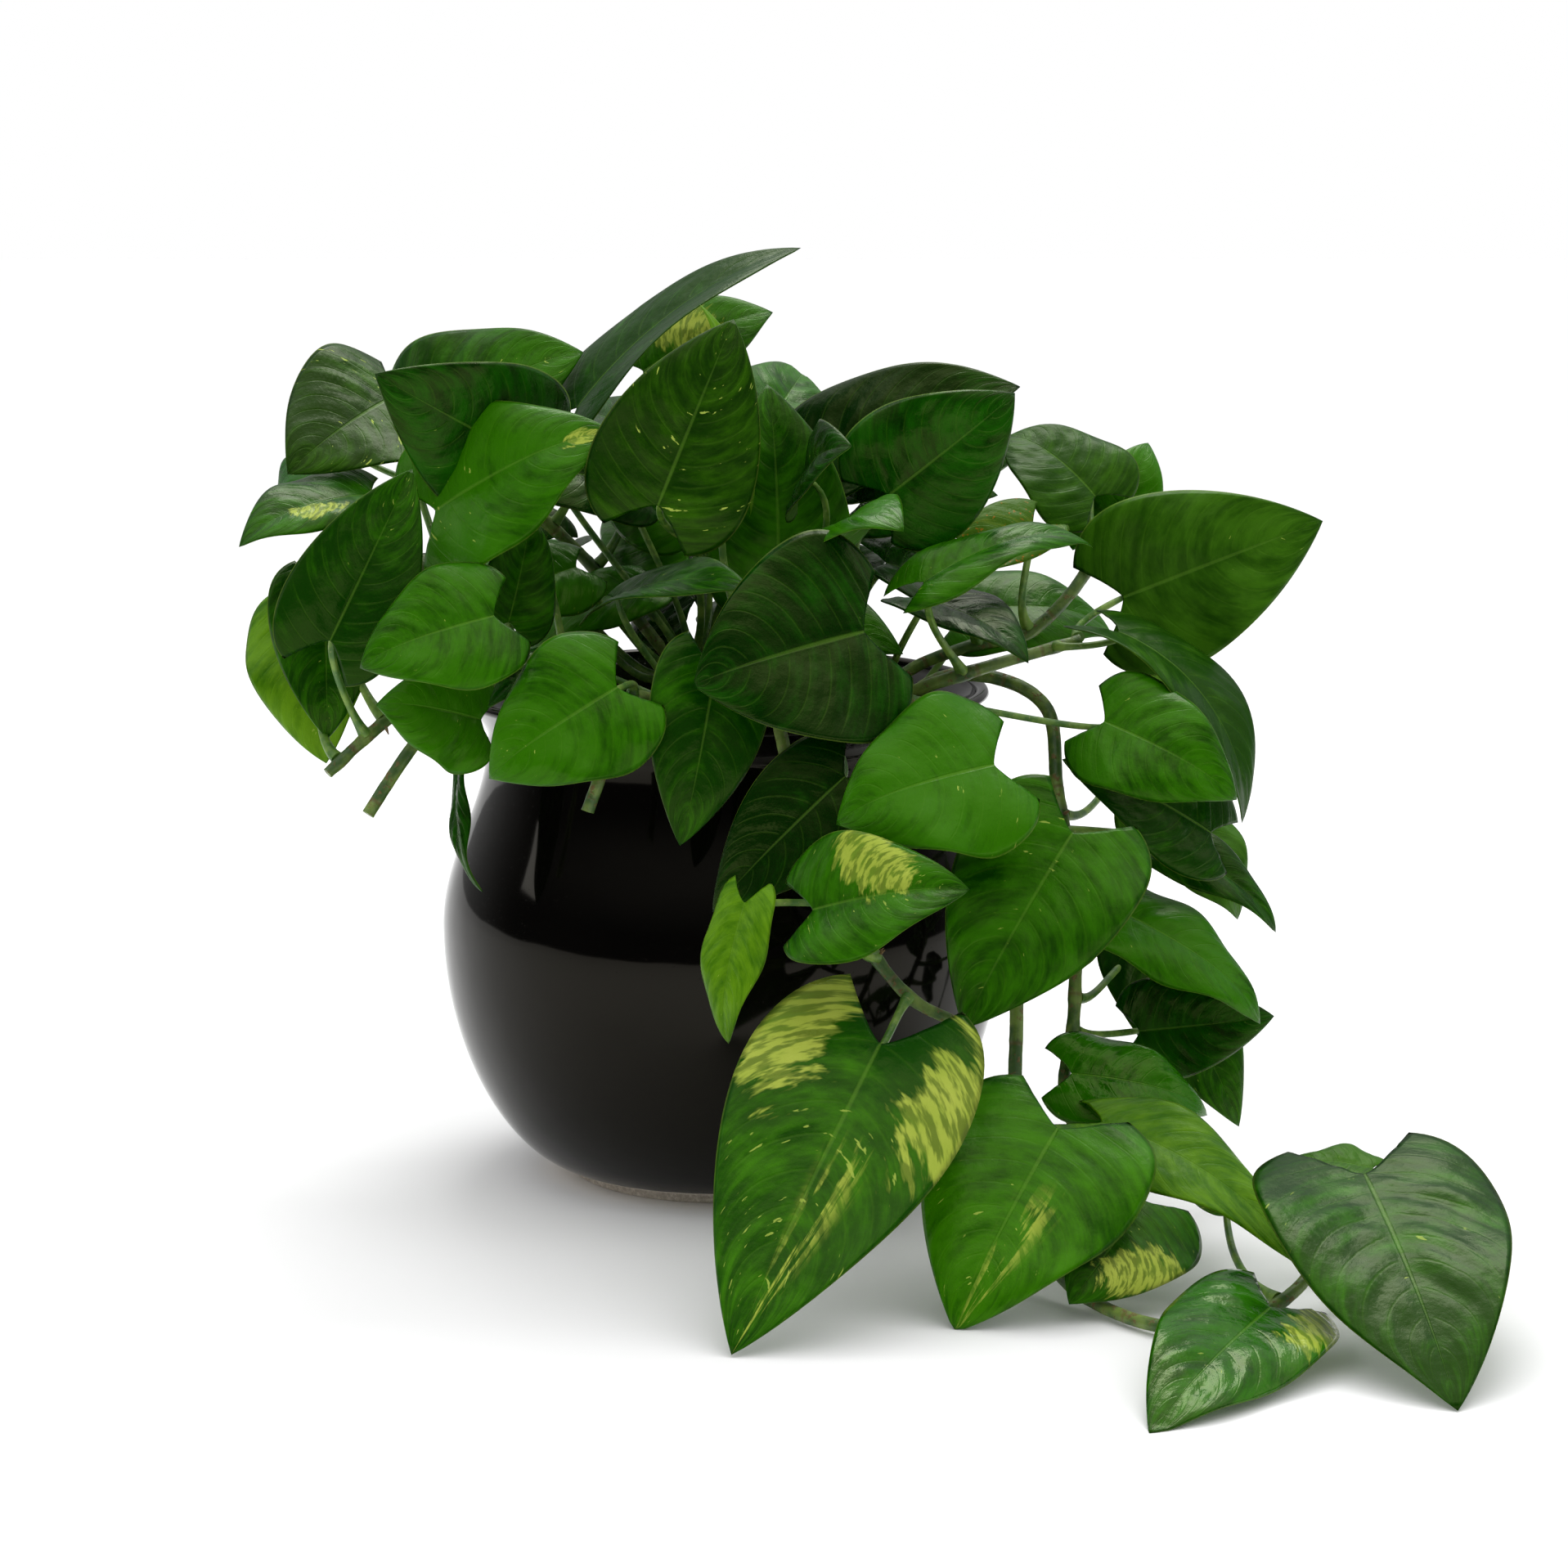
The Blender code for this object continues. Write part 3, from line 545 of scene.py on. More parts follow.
veinSweep = 0.32
cream = colour(186, 194, 86)
leafPaint = {
    "vein": colour(84, 136, 24), "veinShare": 0.09, "veinWidth": 0.14, "midrib": colour(104, 150, 48),
    "rim": colour(140, 170, 66), "rimShare": 0.25, "fleck": colour(176, 196, 84),
    "freckle": colour(168, 92, 22), "patchShade": colour(134, 160, 40), "under": colour(88, 134, 44),
    "underShare": 0.42, "underVein": colour(130, 164, 80), "underRoughness": 0.55, "underGloss": 0.15,
    "topRelief": 0.0007, "underRelief": 0.0005, "reliefStrength": 0.8, "sheenTint": (0.8, 1.0, 0.3, 1.0),
}


def bladeFields(tree):
    # share from petiole to tip, distance across with and without its sign, place among the side veins, seed
    across = parts(tree, nodeOf(tree, "ShaderNodeUVMap", {"uv_map": "UVMap"}).outputs[0])
    share, side = across[0], (across[1] - 0.5) * 2.0
    away = call("ABSOLUTE", side)
    return share, side, away, share - veinSweep * away ** 1.4, attribute(tree, "leafSeed")


def veinLines(vein, width):
    # 1 on each side vein, 0 between them
    saw = call("ABSOLUTE", call("FRACT", vein * veinsPerBlade) - 0.5) * 2.0
    return ramp(saw, 1.0 - width, 1.0)


def patchMask(tree, name, share, side, ragged):
    # a pale patch: centre along and across, and its size, from the blade's own attribute
    along, across, size = parts(tree, attribute(tree, name, "Vector"))
    reach = call("SQRT", (share - along) ** 2.0 + ((side - across) * 0.45) ** 2.0)
    inside = 1.0 - ramp(reach + (ragged - 0.5) * 1.1 * size ** 0.5, size * 0.72, size + 0.001)
    return inside * call("GREATER_THAN", size, 0.01)


def creamStreak(tree, share, side, seed):
    # a broken pale streak beside the midrib, from a quarter of the blade to its tip
    run = noise(tree, joined(tree, share * 2.5, side * 9.0, seed), 1.0, 4.0, 0.6)
    band = (1.0 - ramp(call("ABSOLUTE", side - 0.2), 0.02, 0.3)) * ramp(share, 0.25, 0.5)
    return band * ramp(run, 0.5, 0.58)


def leafSkin(name, look, under):
    material, tree, shader = newMaterial(name, look["roughness"])
    paint = leafPaint
    share, side, away, vein, seed = bladeFields(tree)
    spot = place(tree)
    # a grain drawn out along the side veins
    grain = joined(tree, vein * 34.0 + seed * 7.0, side * 4.5 + seed * 3.0, seed)
    ragged = noise(tree, grain, 0.42, 4.0, 0.62)
    fleckNoise = noise(tree, grain, 1.0, 3.0, 0.55)
    mottle = noise(tree, spot, 46.0, 5.0, 0.6)
    clouds = noise(tree, spot, 14.0, 2.0)
    lines = veinLines(vein + (clouds - 0.5) * 0.05, paint["veinWidth"])
    lines = lines * ramp(away, 0.03, 0.12) * (1.0 - ramp(away, 0.7, 1.0))
    tone = ramp(mottle * 0.28 + ragged * 0.45 + clouds * 0.32 + (seed - 0.5) * 0.22, 0.40, 0.66)
    skin = mixed(tree, tone, colour(*look["dark"]), colour(*look["light"]))
    skin = mixed(tree, lines * paint["veinShare"], skin, paint["vein"])
    level = 0.86 - 0.07 * look["flecks"]
    flecks = ramp(fleckNoise * 0.9 + clouds * 0.35, level, level + 0.03)
    skin = mixed(tree, flecks * (0.45 + 0.35 * look["flecks"]), skin, paint["fleck"])
    patches = [patchMask(tree, title, share, side, ragged) for title in ("patchA", "patchB")]
    patch = call("MAXIMUM", *patches)
    if "streak" in look and not under:
        patch = call("MAXIMUM", patch, creamStreak(tree, share, side, seed) * look["streak"])
    streaks = 0.35 + ramp(fleckNoise, 0.42, 0.56) * 0.6
    skin = mixed(tree, patch * streaks, skin, mixed(tree, mottle, cream, paint["patchShade"]))
    if "spots" in look:
        freckles = ramp(noise(tree, spot, 420.0, 2.0), 0.66 - 0.04 * look["spots"], 0.72)
        skin = mixed(tree, freckles * look["spots"] * 0.8, skin, paint["freckle"])
    midrib = 1.0 - ramp(away, 0.008, 0.034 - 0.016 * share)
    skin = mixed(tree, midrib * (0.30 - 0.22 * share), skin, paint["midrib"])
    rim = ramp(away, 0.98, 0.992)
    skin = mixed(tree, rim * paint["rimShare"], skin, paint["rim"])
    if under:
        skin = mixed(tree, paint["underShare"], skin, paint["under"])
        skin = mixed(tree, lines * 0.4, skin, paint["underVein"])
        shader.inputs["Roughness"].default_value = paint["underRoughness"]
        height = lines * 0.6 + midrib + mottle * 0.2
        bump(tree, shader, height, paint["underRelief"], paint["reliefStrength"])
    else:
        rough = look["roughness"] - 0.04 + (mottle - 0.5) * 0.3 + flecks * 0.05
        plug(tree, shader.inputs["Roughness"], rough)
        fine = noise(tree, spot, 1500.0, 2.0)
        swell = noise(tree, spot, 170.0, 2.0) * 0.7 + ragged * 0.5
        height = swell + fine * 0.10 - lines * 0.12 - midrib * 0.3 + flecks * 0.05
        bump(tree, shader, height, paint["topRelief"], paint["reliefStrength"])
    plug(tree, shader.inputs["Base Color"], skin)
    gloss = paint["underGloss"] if under else 0.5 - look["roughness"] * 0.8
    shader.inputs["Specular IOR Level"].default_value = gloss
    shader.inputs["Specular Tint"].default_value = paint["sheenTint"]
    return material


def stalkSkin():
    material, tree, shader = newMaterial("leaf stalk skin", 0.42)
    spot = place(tree)
    streak = noise(tree, spot, 160.0, 3.0)
    skin = mixed(tree, ramp(streak, 0.35, 0.7), colour(58, 104, 24), colour(118, 150, 56))
    skin = mixed(tree, ramp(noise(tree, spot, 620.0, 2.0), 0.64, 0.74) * 0.6, skin, colour(150, 158, 92))
    plug(tree, shader.inputs["Base Color"], skin)
    plug(tree, shader.inputs["Roughness"], 0.36 + streak * 0.2)
    bump(tree, shader, noise(tree, spot, 900.0, 2.0), 0.0003, 0.5)
    return material


topSkins = {name: leafSkin(name + " leaf skin", look, False) for name, look in skins.items()}
underSkins = {name: leafSkin(name + " leaf underside", look, True) for name, look in skins.items()}
stalk = stalkSkin()
print("leaf skins ready")


# ---- the blade: a grid bent, folded, waved and thickened by one rule

blade = {"rows": 46, "across": 33, "lobeReach": 0.18, "lobeOnset": 0.02, "lobePower": 0.36, "tipPower": 0.95,
         "widest": 0.475, "thickness": 0.0007, "ribDepth": 0.0006, "grooveDepth": 0.00035, "ribWidth": 0.0011,
         "foldSoftness": 0.014, "stalkRadius": 0.0014, "hook": 2.2, "restHeight": 0.0002, "restRise": 0.0008,
         "curlLow": 0.0012, "curlRange": 0.0040, "wavesLow": 1.1, "wavesRange": 1.1, "seedStep": 0.618}


def bladeTree():
    tree, given = newTree(
        "leaf blade",
        floats=("Width", "Lift", "Bend", "Twist", "Wave", "Waves", "Phase", "Quilt", "Curl", "Seed"),
        vectors=("Base", "Tip", "Facing", "Patch A", "Patch B"),
        materials=("Upper Skin", "Under Skin", "Stalk Skin"),
    )
    grid = nodeOf(tree, "GeometryNodeMeshGrid", Size_X=1.0, Size_Y=1.0, Vertices_X=blade["rows"],
                  Vertices_Y=blade["across"])
    x, y, _ = parts(tree, Field(tree, tree.nodes.new("GeometryNodeInputPosition").outputs[0]))
    share = (x + 0.5) ** 1.3
    side = y * 2.0
    away = call("ABSOLUTE", side)
    sheet = grid.outputs["Mesh"]
    for name, kind, domain, value in (
        ("UVMap", "FLOAT2", "CORNER", joined(tree, share, side * 0.5 + 0.5, 0.0)),
        ("patchA", "FLOAT_VECTOR", "POINT", given["Patch A"]),
        ("patchB", "FLOAT_VECTOR", "POINT", given["Patch B"]),
        ("leafSeed", "FLOAT", "POINT", given["Seed"]),
    ):
        stored = nodeOf(tree, "GeometryNodeStoreNamedAttribute", {"data_type": kind, "domain": domain},
                        Geometry=sheet, Name=name)
        plug(tree, next(s for s in stored.inputs if s.name == "Value" and s.enabled), value)
        sheet = stored.outputs[0]

    along = vectorNode(tree, "NORMALIZE", vectorNode(tree, "SUBTRACT", given["Tip"], given["Base"]))
    length = vectorNode(tree, "DISTANCE", given["Tip"], given["Base"], output="Value")
    lean = vectorNode(tree, "DOT_PRODUCT", given["Facing"], along, output="Value")
    normal = vectorNode(tree, "NORMALIZE", vectorNode(tree, "SUBTRACT", given["Facing"], scaled(along, lean)))
    sideways = vectorNode(tree, "CROSS_PRODUCT", normal, along)

    degree = math.pi / 180
    swept = share - blade["lobeReach"] * (1.0 - share) ** 2.0 * away ** 1.3
    outline = (share + blade["lobeOnset"]) ** blade["lobePower"] * (1.0 - share) ** blade["tipPower"]
    outline = outline / blade["widest"]
    halfWidth = given["Width"] * length * outline * 0.5
    offset = side * halfWidth
    bend = given["Bend"] * degree
    angle = bend * (swept - 0.5)
    radius = length / (call("SINE", bend * 0.5) * 2.0)
    run = radius * call("SINE", angle) + length * 0.5
    rise = radius * (call("COSINE", angle) - call("COSINE", bend * 0.5))
    upward = summed(scaled(normal, call("COSINE", angle)), scaled(along, call("SINE", angle)))
    roll = given["Twist"] * degree * (share - 0.3)
    outward = summed(scaled(sideways, call("COSINE", roll)), scaled(upward, call("SINE", roll)))
    above = vectorNode(tree, "SUBTRACT", scaled(upward, call("COSINE", roll)),
                       scaled(sideways, call("SINE", roll)))

    softness = length * blade["foldSoftness"]
    folded = call("SQRT", offset * offset + softness * softness) - softness
    raised = folded * call("SINE", given["Lift"] * degree) * (1.0 - away * 0.35)
    ripple = call("SINE", (given["Waves"] * share + given["Phase"]) * math.tau + call("SIGN", side) * 1.7)
    wave = given["Wave"] * ripple * away ** 2.0 * outline
    vein = share - veinSweep * away ** 1.4
    fade = call("MINIMUM", away * 5.0, 1.0) * (1.0 - away ** 6.0) * outline
    pucker = noise(tree, joined(tree, vein * 11.0, side * 1.8, given["Seed"] * 9.0), 1.0, 2.0) - 0.5
    ribbing = call("COSINE", vein * (veinsPerBlade * math.tau))
    quilt = given["Quilt"] * (pucker * 12.0 - ribbing * 0.1) * fade
    curl = given["Curl"] * away ** 3.0 * outline
    hook = given["Curl"] * blade["hook"] * share ** 5.0
    lift = raised + wave + quilt - curl - hook
    flat = summed(given["Base"], scaled(along, run), scaled(normal, rise),
                  scaled(outward, offset * call("COSINE", given["Lift"] * degree)))

    edge = call("SQRT", (1.0 - away ** 16.0) * (1.0 - share ** 40.0) * call("MINIMUM", share * 25.0, 1.0))
    rib = call("EXPONENT", -(offset * offset) / blade["ribWidth"] ** 2) * (1.0 - share) * edge
    shell = []
    halfThick = edge * (0.5 * blade["thickness"])
    underRest = blade["restHeight"]
    upperRest = underRest + blade["restRise"] * edge  # a blade that meets the floor lies on it
    for skin, height, rest in (
        ("Upper Skin", lift + halfThick - rib * blade["grooveDepth"], upperRest),
        ("Under Skin", lift - halfThick - rib * blade["ribDepth"], underRest),
    ):
        spotX, spotY, spotZ = parts(tree, summed(flat, scaled(above, height)))
        rested = joined(tree, spotX, spotY, call("MAXIMUM", spotZ, rest))
        surface = nodeOf(tree, "GeometryNodeSetPosition", Geometry=sheet, Position=rested)
        if skin == "Under Skin":
            surface = nodeOf(tree, "GeometryNodeFlipFaces", Mesh=surface.outputs[0])
        surface = nodeOf(tree, "GeometryNodeSetMaterial", Geometry=surface.outputs[0], Material=given[skin])
        shell.append(surface)
    both = tree.nodes.new("GeometryNodeJoinGeometry")
    for surface in shell:
        tree.links.new(surface.outputs[0], both.inputs[0])
    closed = nodeOf(tree, "GeometryNodeMergeByDistance", Geometry=both.outputs[0], Distance=0.000004)

    # the stalk: a grooved section swept along the guide line that is the tree's own geometry
    guide = nodeOf(tree, "GeometryNodeMeshToCurve", Mesh=given["Geometry"])
    guide = nodeOf(tree, "GeometryNodeSetCurveNormal", {"mode": "Z_UP"}, Curve=guide.outputs[0])
    factor = Field(tree, tree.nodes.new("GeometryNodeSplineParameter").outputs["Factor"])
    girth = blade["stalkRadius"] * (1.0 + (1.0 - factor) ** 8.0 * 0.9 - factor ** 10.0 * 0.45)
    ring = nodeOf(tree, "GeometryNodeCurvePrimitiveCircle", Resolution=14, Radius=1.0)
    ringX, ringY, _ = parts(tree, Field(tree, tree.nodes.new("GeometryNodeInputPosition").outputs[0]))
    groove = call("EXPONENT", -(ringX * ringX) * 5.0) * call("MAXIMUM", ringY, 0.0) * -0.4
    section = nodeOf(tree, "GeometryNodeSetPosition", Geometry=ring.outputs[0],
                     Offset=joined(tree, 0.0, groove, 0.0))
    swept = nodeOf(tree, "GeometryNodeCurveToMesh", Curve=guide.outputs[0], Profile_Curve=section.outputs[0],
                   Scale=girth, Fill_Caps=True)
    swept = nodeOf(tree, "GeometryNodeSetMaterial", Geometry=swept.outputs[0], Material=given["Stalk Skin"])
    whole = tree.nodes.new("GeometryNodeJoinGeometry")
    tree.links.new(closed.outputs[0], whole.inputs[0])
    tree.links.new(swept.outputs[0], whole.inputs[0])
    smooth = nodeOf(tree, "GeometryNodeSetShadeSmooth", Geometry=whole.outputs[0])
    closeTree(tree, smooth.outputs[0])
    return tree


def stalkRoute(row, steps):
    # from the vine's skin to just inside the blade's underside, as in the part
    vine, share, base, tip, facing, _, _, bend, _ = row
    base, tip, facing = inMetres(base), inMetres(tip), Vector(facing)
    along = (tip - base).normalized()
    normal = (facing - facing.dot(along) * along).normalized()
    spot, direction = onVine(vine, share)
    reach = base - spot
    outward = (reach - reach.dot(direction) * direction).normalized()
    start = spot + outward * (growth["vineRadius"] + growth["gap"])
    tilt = math.radians(bend) / 2
    forward = math.cos(tilt) * along + math.sin(tilt) * normal
    above = math.cos(tilt) * normal - math.sin(tilt) * along
    joint = base + 0.0030 * forward - 0.0004 * above
    arrive = (0.6 * forward + 0.8 * above).normalized()
    span = (joint - start).length
    a = start - outward * growth["rooted"]
    b = start + growth["leaving"] * span * outward
    c = joint - growth["arriving"] * span * arrive
    route = []
    for step in range(steps + 1):
        t = step / steps
        route.append((1 - t) ** 3 * a + 3 * (1 - t) ** 2 * t * b + 3 * (1 - t) * t**2 * c + t**3 * joint)
    return route


def lineObject(name, routes, **fields):
    # open lines as a mesh object; fields are one value for each point
    mesh = bpy.data.meshes.new(name)
    points = [point for route in routes for point in route]
    edges, first = [], 0
    for route in routes:
        edges += [(first + i, first + i + 1) for i in range(len(route) - 1)]
        first += len(route)
    mesh.from_pydata(points, edges, [])
    for title, values in fields.items():
        mesh.attributes.new(title, "FLOAT", "POINT").data.foreach_set("value", values)
    line = bpy.data.objects.new(name + " line", mesh)
    bpy.context.scene.collection.objects.link(line)
    return line


# leaf looks: skin, height of the margin's waves in millimetres, quilting in millimetres, and pale patches as
# share along the blade, place across it (-1 to 1) and size
none = (0.0, 0.0, 0.0)
leafLooks = {
    "leaf_top_spear": ("mid", 2.5, 0.2, none, none),
    "leaf_top_back": ("mid", 2.1, 0.2, (0.45, 0.3, 0.24), none),
    "leaf_centre_face": ("flecked", 3.2, 0.3, none, none),
    "leaf_young": ("young", 1.7, 0.1, none, none),
    "leaf_centre_tall": ("mid", 3.2, 0.35, none, none),
    "leaf_top_right": ("deep", 2.9, 0.25, none, none),
    "leaf_right_heart": ("deep", 2.5, 0.25, none, none),
    "leaf_right_arch": ("grey_painted_sheen", 2.5, 0.3, none, none),
    "leaf_right_back": ("mid", 2.1, 0.25, none, none),
    "leaf_right_big": ("grey_painted_sheen", 4.2, 0.3, none, none),
    "leaf_right_hood": ("grey_painted_sheen", 2.9, 0.3, none, none),
    "leaf_right_lobe": ("mid", 2.5, 0.25, none, none),
    "leaf_right_under": ("young", 2.1, 0.2, none, none),
    "leaf_spotted": ("spotted", 2.1, 0.3, none, none),
    "leaf_ribbon": ("mid", 2.1, 0.2, none, none),
    "leaf_front_heart": ("deep", 3.2, 0.3, none, none),
    "leaf_front_kite": ("mid", 3.2, 0.25, none, none),
    "leaf_front_big": ("mid", 3.8, 0.3, none, none),
    "leaf_right_kite": ("mid", 2.5, 0.25, none, none),
    "leaf_right_round": ("grey_painted_sheen", 2.9, 0.25, none, none),
    "leaf_right_curl": ("mid", 2.5, 0.2, none, none),
    "leaf_right_strap": ("mid", 2.5, 0.2, none, none),
    "leaf_right_shell": ("deep", 2.5, 0.2, none, none),
    "leaf_right_behind": ("mid", 2.1, 0.2, none, none),
    "leaf_low_oval": ("wet", 2.5, 0.25, none, none),
    "leaf_low_strap": ("young", 3.2, 0.25, none, none),
    "leaf_variegated": ("splashed", 3.4, 0.25, (0.16, -0.8, 0.2), (0.22, 0.85, 0.2)),
    "leaf_low_heart": ("splashed", 3.2, 0.25, none, none),
    "leaf_low_small": ("mid", 2.5, 0.25, (0.6, 0.6, 0.26), none),
    "leaf_low_yellow": ("splashed", 2.1, 0.2, (0.35, 0.2, 0.4), none),
    "leaf_ground_gloss": ("wet", 2.5, 0.35, (0.12, 0.8, 0.2), none),
    "leaf_ground_big": ("mid", 4.2, 0.55, none, none),
    "leaf_ground_back": ("grey_painted_sheen", 2.1, 0.2, none, none),
    "leaf_middle_curl": ("mid", 3.2, 0.25, (0.5, 0.5, 0.26), none),
    # the darkest skin on this blade is painted shade: it stands in for the shadow of the leaf over it
    "leaf_middle_dark": ("deep", 2.5, 0.25, none, none),
    "leaf_middle_flag": ("young", 2.1, 0.2, none, none),
    "leaf_front_drop": ("mid", 2.1, 0.25, none, none),
    "leaf_front_left": ("mid", 3.2, 0.3, none, none),
    "leaf_front_slip": ("deep", 2.5, 0.25, none, none),
    "leaf_front_roof": ("mid", 2.5, 0.25, none, none),
    "leaf_left_wing": ("mid", 2.5, 0.25, none, none),
    "leaf_left_upright": ("mid", 2.1, 0.2, none, none),
    "leaf_left_round": ("mid", 2.9, 0.3, none, none),
    "leaf_left_dangle": ("deep", 2.1, 0.2, none, none),
    "leaf_left_shoulder": ("flecked", 2.9, 0.3, none, none),
    "leaf_left_back": ("deep", 2.5, 0.2, none, none),
    "leaf_left_ledge": ("mid", 2.5, 0.25, (0.5, 0.3, 0.16), none),
    "leaf_left_fold": ("mid", 2.5, 0.25, none, none),
    # the yellow-green skin on this blade is painted glow: it stands in for light shining through the leaf
    "leaf_left_pale": ("young", 2.9, 0.2, none, none),
    "leaf_left_droop": ("mid", 2.5, 0.2, none, none),
    "leaf_upper_left": ("mid", 3.2, 0.25, (0.9, 0.0, 0.14), none),
    "leaf_top_left": ("mid", 3.2, 0.3, (0.35, -0.4, 0.2), none),
}

leafTree = bladeTree()


def growLeaf(name, row, look, seed):
    skin, wave, quilt, patchA, patchB = look
    vine, share, base, tip, facing, width, lift, bend, twist = row
    leaf = grown(name, lineObject(name, [stalkRoute(row, growth["stalkSteps"])]), leafTree, {
        "Base": inMetres(base), "Tip": inMetres(tip), "Facing": Vector(facing), "Width": float(width),
        "Lift": float(lift), "Bend": float(bend), "Twist": float(twist), "Wave": wave * mm,
        "Waves": blade["wavesLow"] + blade["wavesRange"] * seed, "Phase": seed, "Quilt": quilt * mm,
        "Curl": blade["curlLow"] + blade["curlRange"] * seed,
        "Seed": seed, "Patch A": patchA, "Patch B": patchB, "Upper Skin": topSkins[skin],
        "Under Skin": underSkins[skin], "Stalk Skin": stalk,
    })
    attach(leaf, "root")
    return leaf


takenPoints = []
for number, (name, row) in enumerate(leaves.items()):
    leaf = growLeaf(name + "_skin", row, leafLooks[name], (number * blade["seedStep"]) % 1.0)
    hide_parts(name)
    takenPoints += [vertex.co.copy() for vertex in list(leaf.data.vertices)[::9]]
print("leaves grown:", len(leaves))


# ---- vines: swept along their routes, thickened where each leaf leaves them

vineLooks = {"sides": 14, "step": 0.0012, "swell": 0.16, "swellLength": 0.0035, "rootLength": 0.004,
             "rootRadius": 0.0009, "rootTip": 0.00025, "rootsPerArea": 22000.0, "knobbliness": 0.00022,
             "buried": 0.004, "ringsPerMetre": 38.0, "seed": 11}


def vineSkin():
    material, tree, shader = newMaterial("vine skin", 0.5)
    spot = place(tree)
    run = attribute(tree, "vineLength")
    lengthwise = noise(tree, spot, 120.0, 4.0)
    skin = mixed(tree, ramp(lengthwise, 0.35, 0.68), colour(52, 84, 26), colour(112, 136, 56))
    cork = ramp(noise(tree, spot, 300.0, 4.0, 0.7), 0.55, 0.66)
    skin = mixed(tree, cork * 0.8, skin, colour(112, 84, 48))
    ring = ramp(call("ABSOLUTE", call("FRACT", run * vineLooks["ringsPerMetre"]) - 0.5) * 2.0, 0.90, 0.99)
    skin = mixed(tree, ring * 0.55, skin, colour(96, 74, 40))
    plug(tree, shader.inputs["Base Color"], skin)
    plug(tree, shader.inputs["Roughness"], 0.42 + cork * 0.35)
    bump(tree, shader, noise(tree, spot, 700.0, 3.0) * 0.6 + cork * 0.5 - ring * 0.5, 0.0005, 0.7)
    return material


def nubSkin():
    material, tree, shader = newMaterial("aerial root skin", 0.8)
    grain = noise(tree, place(tree), 900.0, 3.0)
    plug(tree, shader.inputs["Base Color"], mixed(tree, grain, colour(70, 48, 26), colour(140, 112, 72)))
    bump(tree, shader, grain, 0.0004, 0.6)
    return material


def vineTree():
    tree, given = newTree("vine", floats=("Knobbliness", "Step", "Swell"), materials=("Skin", "Root Skin"),
                          integers=("Sides", "Seed"))
    guide = nodeOf(tree, "GeometryNodeMeshToCurve", Mesh=given["Geometry"])
    guide = nodeOf(tree, "GeometryNodeResampleCurve", {"mode": "LENGTH"}, Curve=guide.outputs[0],
                   Length=given["Step"])
    run = Field(tree, tree.nodes.new("GeometryNodeSplineParameter").outputs["Length"])
    guide = nodeOf(tree, "GeometryNodeStoreNamedAttribute", {"data_type": "FLOAT", "domain": "POINT"},
                   Geometry=guide.outputs[0], Name="vineLength")
    plug(tree, next(s for s in guide.inputs if s.name == "Value" and s.enabled), run)

    def stored(name):
        node = nodeOf(tree, "GeometryNodeInputNamedAttribute", {"data_type": "FLOAT"}, Name=name)
        return Field(tree, node.outputs["Attribute"])

    spot = Field(tree, tree.nodes.new("GeometryNodeInputPosition").outputs[0])
    bulge = 1.0 + stored("swell") * given["Swell"]
    girth = stored("girth") * bulge
    ring = nodeOf(tree, "GeometryNodeCurvePrimitiveCircle", Resolution=given["Sides"], Radius=1.0)
    body = nodeOf(tree, "GeometryNodeCurveToMesh", Curve=guide.outputs[0], Profile_Curve=ring.outputs[0],
                  Scale=girth, Fill_Caps=True)
    rough = (noise(tree, spot, 260.0, 2.0) - 0.5) * 2.0 * given["Knobbliness"]
    normal = Field(tree, tree.nodes.new("GeometryNodeInputNormal").outputs[0])
    body = nodeOf(tree, "GeometryNodeSetPosition", Geometry=body.outputs[0], Offset=scaled(normal, rough))
    body = nodeOf(tree, "GeometryNodeSetMaterial", Geometry=body.outputs[0], Material=given["Skin"])

    # dry aerial root stubs, a few at each swelling
    near = mathNode(tree, "GREATER_THAN", stored("swell"), 0.9)
    drawn = nodeOf(tree, "GeometryNodeDistributePointsOnFaces", Mesh=body.outputs[0], Selection=near,
                   Density=vineLooks["rootsPerArea"], Seed=given["Seed"])
    stub = nodeOf(tree, "GeometryNodeMeshCone", Vertices=6, Side_Segments=2, Fill_Segments=1,
                  Radius_Top=vineLooks["rootTip"], Radius_Bottom=vineLooks["rootRadius"],
                  Depth=vineLooks["rootLength"])
    scale = drawnValue(tree, "FLOAT", 0.4, 1.0, given["Seed"])
    stubs = nodeOf(tree, "GeometryNodeInstanceOnPoints", Points=drawn.outputs["Points"],
                   Instance=stub.outputs[0], Rotation=drawn.outputs["Rotation"],
                   Scale=joined(tree, scale, scale, scale))
    stubs = nodeOf(tree, "GeometryNodeSetMaterial", Geometry=stubs.outputs[0], Material=given["Root Skin"])
    whole = tree.nodes.new("GeometryNodeJoinGeometry")
    tree.links.new(body.outputs[0], whole.inputs[0])
    tree.links.new(stubs.outputs[0], whole.inputs[0])
    smooth = nodeOf(tree, "GeometryNodeSetShadeSmooth", Geometry=whole.outputs[0])
    closeTree(tree, smooth.outputs[0])
    return tree


def vineGuide(name):
    # the vine and its forks as lines, with the girth and the swelling of each point
    routes, girths, swells = [], [], []
    for stem in [name] + [fork for fork, (parent, _, _) in forks.items() if parent == name]:
        route = vineRoute(stem, growth["fineSteps"])
        if stem in vines:
            route[0] = route[0] - Vector((0, 0, vineLooks["buried"]))
        joints = [onVine(stem, share)[0] for vine, share, *_ in leaves.values() if vine == stem]
        for index, point in enumerate(route):
            far = index / (len(route) - 1)
            thick = growth["forkShare"] if stem in forks else 1.0 - growth["taper"] * far
            near = min([(point - joint).length for joint in joints], default=1.0)
            girths.append(growth["vineRadius"] * thick)
            swells.append(math.exp(-((near / vineLooks["swellLength"]) ** 2)))
        routes.append(route)
    return lineObject(name, routes, girth=girths, swell=swells)


